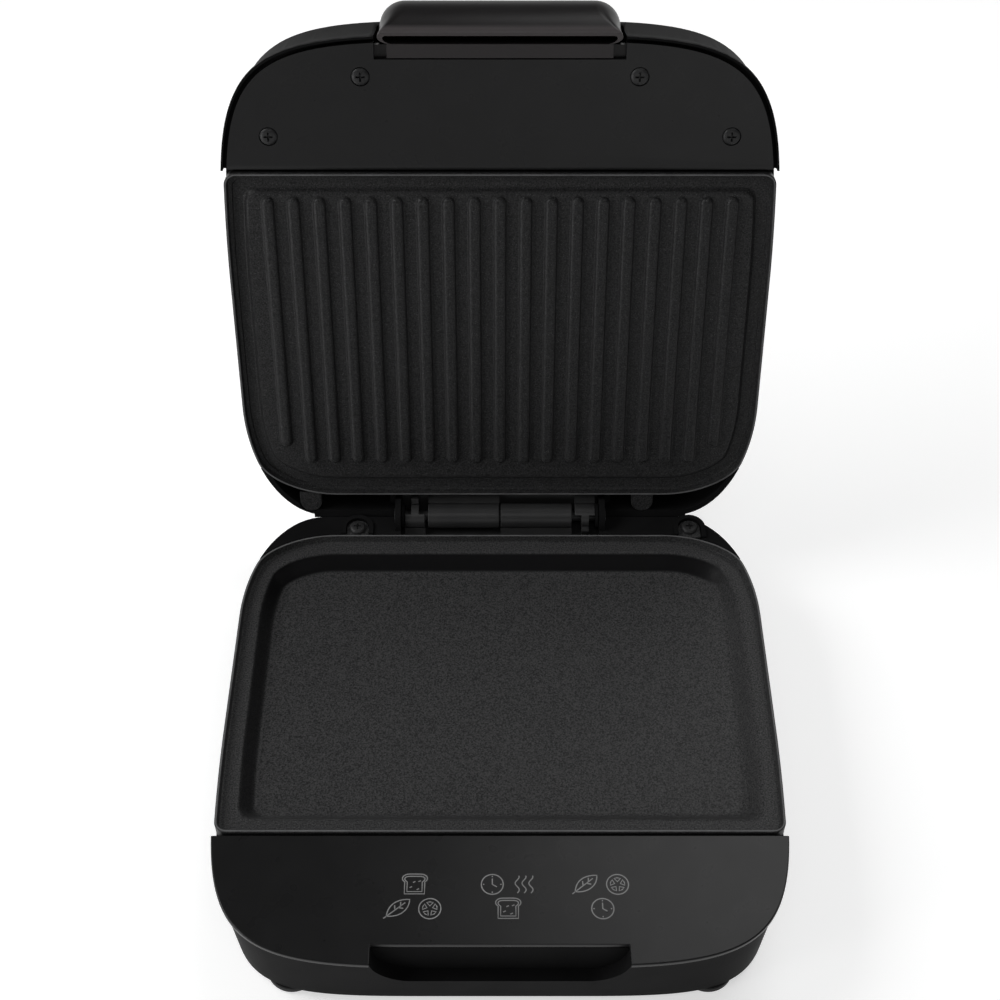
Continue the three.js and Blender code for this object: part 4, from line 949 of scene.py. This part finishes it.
def bracket(slack):
    end = KNUCKLE_START + KNUCKLE_LENGTH
    strap = across_hinge(strap_points(), slack - EAR_INNER, EAR_INNER - slack)
    finger = cut(
        box(FINGER_CENTRE - FINGER_WIDTH / 2, FINGER_CENTRE + FINGER_WIDTH / 2, -STRAP_FRONT, -GAP,
            -STRAP_INNER - GAP, -GAP),
        [axle(-FAR, FAR, BARREL_RADIUS + GAP + GAP)])
    barrel = knuckle(BARREL_GAP / 2, BARREL_GAP / 2 + BARREL_LENGTH)
    body = joined([strap, barrel, knuckle(-end, -KNUCKLE_START), finger])
    half_finger = FINGER_WIDTH / 2 + FINGER_SLACK
    notches = [
        box(-end - OVERRUN, -FINGER_CENTRE - half_finger, -FAR, FAR, NOTCH_FLOOR, FAR),
        box(-FINGER_CENTRE + half_finger, -KNUCKLE_START + BARREL_GAP, -FAR, FAR, NOTCH_FLOOR, FAR)]
    notches = [turned(notch, -90 + (180 - math.degrees(OPEN)) / 2, "X") for notch in notches]
    return softened(cut(body, [pin_bore(), *notches]), FINE_SOFT)


def washer(side):
    """Dark washer between an end knuckle and its ear."""
    inner, outer = KNUCKLE_START + KNUCKLE_LENGTH + GAP / 2, EAR_INNER - GAP / 2
    ring = axle(inner, outer, WASHER_RADIUS, ROUND_SIDES, WASHER_CHAMFER)
    if side < 0:
        moved(ring, -inner - outer)
    return cut(ring, [pin_bore()])


def hinge_pin():
    face = EAR_END + PIN_HEAD_SLACK
    heads = [
        axle(x0, x1, PIN_HEAD_RADIUS, ROUND_SIDES, PIN_HEAD_CHAMFER)
        for x0, x1 in ((-PIN_HALF, -face), (face, PIN_HALF))]
    return joined([axle(-PIN_HALF + GAP, PIN_HALF - GAP, PIN_RADIUS, ROUND_SIDES), *heads])


# Small pieces
def screw_solid(length):
    """Pan head with a cross recess, its underside at z = 0."""
    height = SCREW_HEAD_HEIGHT
    dome = [(SCREW_HEAD_RADIUS * across, height * up) for across, up in SCREW_DOME_SHARES]
    body = revolved([(0, -length), (SCREW_SHANK_RADIUS, -length), (SCREW_SHANK_RADIUS, 0)] + dome)
    arms = []
    for a, b in ((CROSS_LENGTH / 2, CROSS_WIDTH / 2), (CROSS_WIDTH / 2, CROSS_LENGTH / 2)):
        top = [(-a, -b), (a, -b), (a, b), (-a, b)]
        floor = [(x * CROSS_FLOOR_SHARE, y * CROSS_FLOOR_SHARE) for x, y in top]
        arms.append(loft([(floor, height - CROSS_DEPTH), (top, height + CROSS_OVERRUN)]))
    return cut(body, arms)


def foot_solid():
    r, h, e = FOOT_RADIUS, FOOT_HEIGHT, FOOT_EDGE
    sole = r - FOOT_DRAFT
    dish = [(r * share, z) for share, z in zip(FOOT_DISH_SHARES, (FOOT_DISH, 0))]
    return revolved([
        (0, FOOT_DISH), *dish, (sole - e, 0), (sole - e * 0.3, e * 0.25), (sole, e), (r, h / 3),
        (r, h - e / 2), (r - e / 2, h), (FOOT_PLUG_RADIUS, h), (FOOT_PLUG_RADIUS, h + BOTTOM_THICKNESS),
        (0, h + BOTTOM_THICKNESS)])


def bottom_cover():
    plate = loft([
        (bottom_plan(BOTTOM_INSET + BOTTOM_ROUND), -BASE_HEIGHT), (bottom_plan(BOTTOM_INSET), -BOTTOM_TOP)])
    below, above = -BASE_HEIGHT - OVERRUN, -BOTTOM_TOP + OVERRUN
    tools = []
    for index in range(VENT_COUNT):
        x = (index - (VENT_COUNT - 1) / 2) * VENT_PITCH
        half = VENT_WIDTH / 2
        run = VENT_LENGTH / 2 - half
        points = slot_points(x, half, -VENT_Y + run, -VENT_Y - run, VENT_STEPS)
        tools.append(prism(points, below, above))
    for x, y in BOTTOM_SCREWS:
        tools.append(cylinder(x, y, below, above, SCREW_HOLE_RADIUS))
        tools.append(cylinder(x, y, below, -BASE_HEIGHT + BOTTOM_SCREW_RECESS, SCREW_HEAD_RADIUS + GAP))
    for x, y in FOOT_PLACES:
        tools.append(cylinder(x, y, below, above, FOOT_PLUG_RADIUS + GAP))
    return softened(cut(plate, tools), FINE_SOFT)


def gland_solid():
    inside, outside, thick = -WALL - GAP, GAP, GLAND_FLANGE_THICKNESS
    edge = GLAND_FLANGE - thick / 4
    return into_rear_wall(revolved([
        (GLAND_BORE, inside - thick), (edge, inside - thick), (GLAND_FLANGE, inside), (GLAND_NECK, inside),
        (GLAND_NECK, outside), (GLAND_FLANGE, outside), (GLAND_FLANGE, outside + thick * 0.5),
        (edge, outside + thick * 0.9), (edge - GLAND_EDGE, outside + thick),
        (GLAND_BORE + GLAND_MOUTH, outside + thick), (GLAND_BORE, outside + thick * 0.8)]))


def lamp_solid():
    dome = [(LAMP_RADIUS * across, LAMP_RISE * up) for across, up in LAMP_DOME_SHARES]
    return revolved([(0, -LAMP_STEM_LENGTH), (LAMP_STEM, -LAMP_STEM_LENGTH), (LAMP_STEM, 0)] + dome)


# Print on the deck: groups of small drawings, each about 10 mm across in lines of even width
def ribbon(bm, points, closed):
    half = PRINT_LINE / 2
    count = len(points)
    rows = []
    for i, (x, y) in enumerate(points):
        before = points[i - 1] if closed or i > 0 else points[i]
        after = points[(i + 1) % count] if closed or i + 1 < count else points[i]
        along = Vector((after[0] - before[0], after[1] - before[1])).normalized() * half
        left, right = (x - along.y, y + along.x), (x + along.y, y - along.x)
        low, high = -COVER_TOP - PRINT_THICKNESS, -COVER_TOP + PRINT_THICKNESS
        corners = ((left, high), (right, high), (right, low), (left, low))
        rows.append([bm.verts.new((*spot, z)) for spot, z in corners])
    for i in range(count if closed else count - 1):
        here, there = rows[i], rows[(i + 1) % count]
        for k in range(4):
            m = (k + 1) % 4
            bm.faces.new((here[k], there[k], there[m], here[m]))
    if not closed:
        bm.faces.new(rows[0])
        bm.faces.new(rows[-1][::-1])


def steam():
    waves = []
    for shift in (-3.0, 0.0, 3.0):
        spots = [(shift + 0.9 * math.sin(t * math.tau / 12), -4.2 + 8.4 * t / 16) for t in range(17)]
        waves.append((spots, False))
    return waves


def slice_of_bread(inset):
    low = [(-4.4 + inset, -4.6 + inset), (4.4 - inset, -4.6 + inset)]
    right = bezier((4.4 - inset, 1.2), (6.4 - inset, 2.4), (5.6 - inset, 5.0 - inset), (2.2, 5.0 - inset), 10)
    left = [(-x, y) for x, y in reversed(right)]
    return low + right + left


def toast():
    places = ((-2.2, -1.6), (0.9, -2.6), (-0.8, 0.9), (1.6, 1.3))
    crumbs = [([(x, y), (x + 1.1, y + 0.5)], False) for x, y in places]
    return [(slice_of_bread(0.0), True), (slice_of_bread(1.1), True)] + crumbs


def leaf():
    upper = bezier((-4.8, -3.6), (-4.2, 2.8), (0.6, 4.6), (5.0, 4.4), 12)
    lower = bezier((5.0, 4.4), (5.2, 0.2), (1.8, -4.2), (-4.8, -3.6), 12)
    veins = (
        ((-6.0, -4.6), (3.2, 2.9)), ((-1.2, -0.6), (-1.4, 1.6)), ((1.2, 1.3), (1.2, 3.2)),
        ((0.2, 0.5), (2.4, 0.1)))
    return [(upper + lower[1:-1], True)] + [(vein, False) for vein in veins]


def spoke(angle, near, far):
    return [(radius * math.cos(angle), radius * math.sin(angle)) for radius in (near, far)]


def tomato_slice():
    wedges = []
    for index in range(5):
        middle = math.tau * index / 5 + math.pi / 2
        tip, crest = spoke(middle, 1.3, 3.2)
        before, after = (spoke(middle + turn, 1.3, 3.2)[1] for turn in (-0.45, 0.45))
        wedges.append(([tip, before, crest, after], True))
    return [(circle(0, 0, 4.8, 40), True)] + wedges


def clock():
    ticks = [(spoke(math.pi * index / 2, 3.5, 4.1), False) for index in range(4)]
    return [(circle(0, 0, 4.8, 40), True), ([(0, 2.8), (0, 0), (2.0, -1.2)], False)] + ticks


def deck_print():
    """Three groups of three drawings, each given with its column and its row."""
    layout = [
        [(toast(), 0, 0), (leaf(), -1, 1), (tomato_slice(), 1, 1)],
        [(clock(), -1, 0), (steam(), 1, 0), (toast(), 0, 1)],
        [(leaf(), -1, 0), (tomato_slice(), 1, 0), (clock(), 0, 1)]]
    bm = bmesh.new()
    for centre, group in zip(PRINT_GROUPS, layout):
        for drawing, column, row in group:
            x, y = centre + column * PRINT_COLUMN, -PRINT_ROWS[row]
            for points, closed in drawing:
                ribbon(bm, [(px * PRINT_SCALE + x, py * PRINT_SCALE + y) for px, py in points], closed)
    return new_object(bm)


# Materials: an input is given a value, or the output of another node
def given(tree, node, inputs):
    for name, value in inputs.items():
        socket = node.inputs[name.replace("_", " ")]
        if isinstance(value, bpy.types.NodeSocket):
            tree.links.new(value, socket)
        else:
            socket.default_value = value
    return node


def added(tree, kind, **inputs):
    return given(tree, tree.nodes.new(f"ShaderNode{kind}"), inputs)


def shader(name, colour, roughness, **inputs):
    material = bpy.data.materials.new(name)
    material.use_nodes = True
    tree = material.node_tree
    values = {"Base Color": (*colour, 1), "Roughness": roughness, **inputs}
    given(tree, tree.nodes["Principled BSDF"], values)
    return material


def finished(material, tone, height, relief, **inputs):
    """Gives a surface its tone and its relief."""
    tree = material.node_tree
    normal = added(tree, "Bump", Height=height, Distance=relief).outputs["Normal"]
    given(tree, tree.nodes["Principled BSDF"], {"Base Color": tone, "Normal": normal, **inputs})
    return material


def object_coordinates(tree):
    return added(tree, "TexCoord").outputs["Object"]


def noise(tree, scale, detail=3.0, stretch=None):
    vector = object_coordinates(tree)
    if stretch:
        vector = added(tree, "Mapping", Vector=vector, Scale=stretch).outputs["Vector"]
    return added(tree, "TexNoise", Vector=vector, Scale=scale, Detail=detail).outputs["Fac"]


def ranged(tree, value, low, high, start=0.0, stop=1.0):
    node = added(tree, "MapRange", Value=value, From_Min=start, From_Max=stop, To_Min=low, To_Max=high)
    return node.outputs["Result"]


def mixed(tree, factor, dark, light):
    node = added(tree, "Mix", Factor=factor)
    node.data_type = "RGBA"
    for socket, colour in (("A_Color", dark), ("B_Color", light)):
        target = next(i for i in node.inputs if i.identifier == socket)
        if isinstance(colour, bpy.types.NodeSocket):
            tree.links.new(colour, target)
        else:
            target.default_value = (*colour, 1)
    return next(o for o in node.outputs if o.identifier == "Result_Color")


def attribute(tree, name):
    node = added(tree, "Attribute")
    node.attribute_name = name
    return node.outputs["Fac"]


def calculated(tree, operation, first, second):
    node = added(tree, "Math")
    node.operation = operation
    tree.links.new(first, node.inputs[0])
    tree.links.new(second, node.inputs[1])
    return node.outputs[0]


def plastic(name, dark, light, roughness, grain=2600.0, relief=0.00002, specular=0.5, rub_and_highlight=None):
    """Moulded plastic: spark-eroded grain, slight patches of gloss, and, where marked, a paler tone: a
    painted highlight, partly rubbing too.
    """
    material = shader(name, dark, roughness, Specular_IOR_Level=specular)
    tree = material.node_tree
    tone = mixed(tree, ranged(tree, noise(tree, 60.0), 0, 1, 0.35, 0.65), dark, light)
    # Painted highlight on the marked edges, partly rubbing too
    if rub_and_highlight:
        tone = mixed(tree, attribute(tree, "rub_and_highlight"), tone, rub_and_highlight)
    patches = ranged(tree, noise(tree, 90.0, 2.0), roughness - 0.01, roughness + 0.015, 0.3, 0.7)
    return finished(material, tone, noise(tree, grain, 2.0), relief, Roughness=patches)


def coated_metal(name, dark, light, specular):
    """Non-stick coating: dark, finely pebbled and sprinkled with paler specks."""
    # The specks are the coating's own; the dark tone is painted shade on the pan walls, the pale one a
    # painted highlight on the lip's crest, partly wear
    speck, painted_shade_tone, worn_and_highlight_tone = (0.082, 0.082, 0.084), (0.0045, 0.0045, 0.0048), (0.12, 0.12, 0.122)
    material = shader(name, light, 0.5, Specular_IOR_Level=specular)
    tree = material.node_tree
    cells = added(tree, "TexVoronoi", Vector=object_coordinates(tree), Scale=1300.0)
    near = ranged(tree, cells.outputs["Distance"], 1, 0, 0.1, 0.3)
    chosen = ranged(tree, cells.outputs["Color"], 0, 1, 0.62, 0.66)
    ground = mixed(tree, ranged(tree, noise(tree, 1500.0, 3.0), 0, 1, 0.35, 0.65), dark, light)
    tone = mixed(tree, calculated(tree, "MULTIPLY", near, chosen), ground, speck)
    # Painted shade on the pan's rear and left walls
    tone = mixed(tree, attribute(tree, "wall_shade"), tone, painted_shade_tone)
    # Painted highlight on the lip's crest, partly wear, uneven along it
    uneven = ranged(tree, noise(tree, 90.0, 4.0), 0.55, 1.0, 0.3, 0.7)
    tone = mixed(tree, calculated(tree, "MULTIPLY", attribute(tree, "wear_and_highlight"), uneven), tone, worn_and_highlight_tone)
    gloss = ranged(tree, noise(tree, 500.0, 4.0), 0.33, 0.47, 0.3, 0.7)
    return finished(material, tone, noise(tree, 1100.0, 3.0), 0.00006, Roughness=gloss)


def metal(name, dark, light, roughness, stretch=(1, 1, 1), scale=900.0):
    material = shader(name, light, roughness, Metallic=1.0)
    tree = material.node_tree
    streaks = noise(tree, scale, 4.0, stretch)
    tone = mixed(tree, ranged(tree, streaks, 0, 1, 0.3, 0.7), dark, light)
    gloss = ranged(tree, streaks, roughness - 0.08, roughness + 0.1, 0.3, 0.7)
    return finished(material, tone, streaks, 0.00001, Roughness=gloss)


def lens(name, dark, light):
    material = shader(name, light, 0.12, Coat_Weight=0.4)
    tree = material.node_tree
    rings = added(tree, "TexWave", Vector=object_coordinates(tree), Scale=1500.0)
    rings.wave_type = "RINGS"
    rings.rings_direction = "SPHERICAL"
    tone = mixed(tree, noise(tree, 700.0, 2.0), dark, light)
    return finished(material, tone, rings.outputs["Fac"], 0.00002)


def ceramic():
    material = shader("steatite", (0.6, 0.56, 0.48), 0.6)
    tree = material.node_tree
    tone = mixed(tree, noise(tree, 900.0, 4.0), (0.52, 0.48, 0.4), (0.66, 0.62, 0.54))
    return finished(material, tone, noise(tree, 1800.0), 0.00004)


HOUSING = plastic(
    "housing_plastic", (0.0066, 0.0066, 0.0068), (0.0082, 0.0082, 0.0084), 0.48, 2600.0, 0.00001, 0.013)
COVER = plastic(
    "cover_plastic", (0.0065, 0.0065, 0.0067), (0.0078, 0.0078, 0.008), 0.28, 3200.0, 0.000006, 0.19)
# Its last colour is the painted highlight on the handle's lip and the foot's edge, partly rubbing too
HANDLE_PLASTIC = plastic(
    "handle_plastic", (0.0082, 0.0074, 0.0076), (0.0097, 0.0088, 0.0090), 0.32, 2600.0, 0.00001, 0.17,
    (0.05, 0.045, 0.046))
HINGE_PLASTIC = plastic("hinge_plastic", (0.018, 0.018, 0.0183), (0.023, 0.023, 0.0233), 0.38, specular=0.3)
COATING = coated_metal("non_stick_coating", (0.0145, 0.0145, 0.015), (0.0495, 0.0495, 0.05), 0.09)
# A darker copy of the coating for the lid's plate: painted shade, standing in for the lid's face getting less
# light
RIBBED_COATING_SHADED = coated_metal("ribbed_coating_shaded", (0.008, 0.008, 0.0083), (0.031, 0.031, 0.0315), 0.11)
BLACK_STEEL = plastic(
    "blackened_steel", (0.014, 0.014, 0.0145), (0.021, 0.021, 0.0215), 0.42, 900.0, 0.00001, 0.2)
STEEL = metal("bright_steel", (0.45, 0.45, 0.46), (0.62, 0.62, 0.63), 0.3, (1, 20, 1), 300.0)
ALUMINIUM = metal("mill_aluminium", (0.6, 0.61, 0.62), (0.74, 0.75, 0.76), 0.4, (1, 12, 1), 200.0)
HEATER_STEEL = metal("oxidised_steel", (0.12, 0.11, 0.1), (0.28, 0.26, 0.24), 0.5)
RUBBER = plastic("rubber", (0.012, 0.012, 0.012), (0.018, 0.018, 0.018), 0.75, 1500.0, 0.00005, 0.3)
CERAMIC = ceramic()
PRINT = plastic("pale_print", (0.17, 0.17, 0.17), (0.21, 0.21, 0.21), 0.5, 1500.0, 0.000005)
RED_LENS = lens("red_lens", (0.28, 0.01, 0.008), (0.45, 0.02, 0.012))
GREEN_LENS = lens("green_lens", (0.01, 0.16, 0.03), (0.02, 0.28, 0.06))


# Placing: a solid becomes a piece that rides on its body and stands for its node
def dressed(solid, name, body, material, drawn_below=False):
    """drawn_below: the lid's solid is drawn like the base's, below the parting plane."""
    solid.name = solid.data.name = name
    if drawn_below:
        flipped(solid)
    turn = Matrix.Rotation(-OPEN if body == "lid" else 0.0, 4, "X")
    solid.data.transform(Matrix.Translation(HINGE) @ turn @ Matrix.Scale(MM, 4))
    solid.data.materials.clear()
    solid.data.materials.append(material)
    solid.data.shade_smooth()
    solid.data.set_sharp_from_angle(angle=math.radians(SHARP_DEGREES))
    modifier = solid.modifiers.new("normals", "WEIGHTED_NORMAL")
    modifier.keep_sharp = True
    evaluated(solid)
    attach(solid, body)


def placed(solid, name, body, node, material, drawn_below=False):
    dressed(solid, name, body, material, drawn_below)
    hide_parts(node)


placed(base_housing(), "base_housing", "base", "base_shell", HOUSING)
placed(base_cover(), "base_deck", "base", "base_front_cover", COVER)
dressed(deck_print(), "deck_print", "base", PRINT)
placed(lower_plate(), "flat_plate", "base", "lower_plate", COATING)
placed(bottom_cover(), "base_floor", "base", "bottom_cover", HOUSING)
placed(gland_solid(), "cord_bush", "base", "cord_gland", RUBBER)
placed(bracket(STRAP_SLACK), "base_hinge", "base", "base_hinge_bracket", HINGE_PLASTIC)
placed(hinge_pin(), "pin", "base", "hinge_pin", BLACK_STEEL)
for side, x in zip(("left", "right"), lug_places(1)):
    head = moved(screw_solid(BOSS_DEPTH / 2), x, -LUG_CENTRE, -LUG_TOP + GAP)
    placed(head, f"plate_screw_{side}", "base", f"lower_plate_screw_{side}", BLACK_STEEL)
for number, (x, y) in enumerate(BOTTOM_SCREWS, 1):
    head = flipped(screw_solid(BOTTOM_THICKNESS - BOTTOM_SCREW_RECESS + WALL * 3))
    moved(head, x, y, -BASE_HEIGHT + BOTTOM_SCREW_RECESS - GAP)
    placed(head, f"floor_screw_{number}", "base", f"bottom_screw_{number}", BLACK_STEEL)
for number, (x, y) in enumerate(FOOT_PLACES, 1):
    solid = moved(foot_solid(), x, y, -BASE_HEIGHT - GAP - FOOT_HEIGHT)
    placed(solid, f"rubber_foot_{number}", "base", f"foot_{number}", RUBBER)
for side, name in ((-1, "left"), (1, "right")):
    dressed(washer(side), f"hinge_washer_{name}", "base", HOUSING)

placed(lid_housing(), "lid_housing", "lid", "lid_shell", HOUSING, True)
placed(lid_panel(), "lid_panel", "lid", "lid_front_panel", COVER, True)
placed(handle(), "lid_handle", "lid", "handle", HANDLE_PLASTIC, True)
placed(upper_plate(), "ribbed_plate", "lid", "upper_plate", RIBBED_COATING_SHADED, True)
lid_bracket = flipped(bracket(GAP), (1, 0, 0))
placed(lid_bracket, "lid_hinge", "lid", "lid_hinge_bracket", HINGE_PLASTIC, True)
for number, (x, y) in enumerate(PANEL_SCREWS, 1):
    head = moved(screw_solid(BOSS_DEPTH / 2), x, y, -PANEL_SCREW_SEAT + GAP)
    placed(head, f"lid_screw_{number}", "lid", f"panel_screw_{number}", BLACK_STEEL, True)
LAMPS = ((-LAMP_X, "power_lamp", "red_lens", RED_LENS), (LAMP_X, "ready_lamp", "green_lens", GREEN_LENS))
for x, node, slot, material in LAMPS:
    placed(moved(lamp_solid(), x, -LAMP_Y, LID_HEIGHT + GAP), f"{node}_lens", "lid", node, material)

# Inner pieces keep their CAD solids and get their finish here
INNER = {
    "lower_heater": HEATER_STEEL, "upper_heater": HEATER_STEEL,
    "lower_heat_shield": ALUMINIUM, "upper_heat_shield": ALUMINIUM,
    "lower_thermostat": ALUMINIUM, "upper_thermostat": ALUMINIUM,
    "thermal_fuse": CERAMIC, "terminal_block": CERAMIC}
for name, node in frame["nodes"].items():
    node.data.materials.clear()
    node.data.materials.append(INNER.get(name, STEEL if "screw" in name else HOUSING))

# Camera, fitted to the photograph; its place is measured from the hinge axis
TILT = math.radians(48.063)
CAMERA_DISTANCE = 777.09
CAMERA_RISE = -7.68
LENS = 57.66
camera_data = bpy.data.cameras.new("camera")
camera = bpy.data.objects.new("camera", camera_data)
bpy.context.scene.collection.objects.link(camera)
forward = Vector((0, math.cos(TILT), -math.sin(TILT)))
upward = Vector((0, math.sin(TILT), math.cos(TILT)))
camera.location = HINGE - (forward * CAMERA_DISTANCE + upward * CAMERA_RISE) * MM
camera.rotation_euler = (math.pi / 2 - TILT, 0, 0)
camera_data.lens = LENS
camera_data.sensor_width = 36
camera_data.clip_start = 0.01
bpy.context.scene.camera = camera

# Floor, world and lights, in metres and watts
FLOOR_HALF = 6.0
FLOOR_GAP = 0.0002
FLOOR_LIFT = 0.52
HORIZON_TOP = 0.08
CEILING_START = 0.3
CEILING = 0.06
AMBIENT = 0.16


def seen_directly(tree):
    """1 for the rays that show the background: straight on, through glass and in a reflection."""
    path = added(tree, "LightPath")
    factor = path.outputs["Is Camera Ray"]
    for name in ("Is Transmission Ray", "Is Glossy Ray"):
        factor = calculated(tree, "MAXIMUM", factor, path.outputs[name])
    return factor


def floor():
    bm = bmesh.new()
    bmesh.ops.create_grid(bm, x_segments=1, y_segments=1, size=FLOOR_HALF)
    ground = new_object(bm, "floor")
    ground.location.z = CAD_BOX[0].z - FLOOR_GAP
    paint = shader("floor_paint", (0.7, 0.7, 0.7), 0.9, Specular_IOR_Level=0.1, Emission_Color=(1, 1, 1, 1))
    tree = paint.node_tree
    lift = ranged(tree, seen_directly(tree), 0, FLOOR_LIFT)
    given(tree, tree.nodes["Principled BSDF"], {"Emission Strength": lift})
    ground.data.materials.append(paint)


def world():
    """White round the horizon, a dim ceiling above it."""
    sky = bpy.data.worlds.new("studio")
    sky.use_nodes = True
    bpy.context.scene.world = sky
    tree = sky.node_tree
    tree.nodes.clear()
    axes = added(tree, "SeparateXYZ", Vector=added(tree, "TexCoord").outputs["Generated"])
    shown = ranged(tree, axes.outputs["Z"], 1.0, CEILING, HORIZON_TOP, CEILING_START)
    strength = added(tree, "Mix", Factor=seen_directly(tree), A=AMBIENT, B=shown)
    light = added(tree, "Background", Color=(1, 1, 1, 1), Strength=strength.outputs["Result"])
    added(tree, "OutputWorld", Surface=light.outputs[0])


def softbox(name, place, aim, width, height, power):
    data = bpy.data.lights.new(name, "AREA")
    data.shape = "RECTANGLE"
    data.size = width
    data.size_y = height
    data.energy = power
    lamp = bpy.data.objects.new(name, data)
    bpy.context.scene.collection.objects.link(lamp)
    lamp.location = place
    lamp.rotation_euler = (Vector(aim) - Vector(place)).to_track_quat("-Z", "Y").to_euler()


floor()
world()
softbox("side", (-0.75, 0.05, 0.75), (0, 0, 0.1), 0.5, 0.5, 5.5)
softbox("rear", (0.52, 0.6, 1.3), (0, -0.05, 0.1), 0.95, 0.8, 8)
softbox("front", (0.0, -0.62, 1.2), (0, 0.1, 0.2), 0.6, 0.4, 1.3)
softbox("card", (0.5, -1.15, 0.35), (0, 0.1, 0.15), 0.8, 0.5, 0.7)
softbox("low", (-0.9, -0.55, 0.18), (0, 0.1, 0.15), 0.22, 0.22, 3.0)

bpy.context.scene.view_settings.view_transform = "Standard"
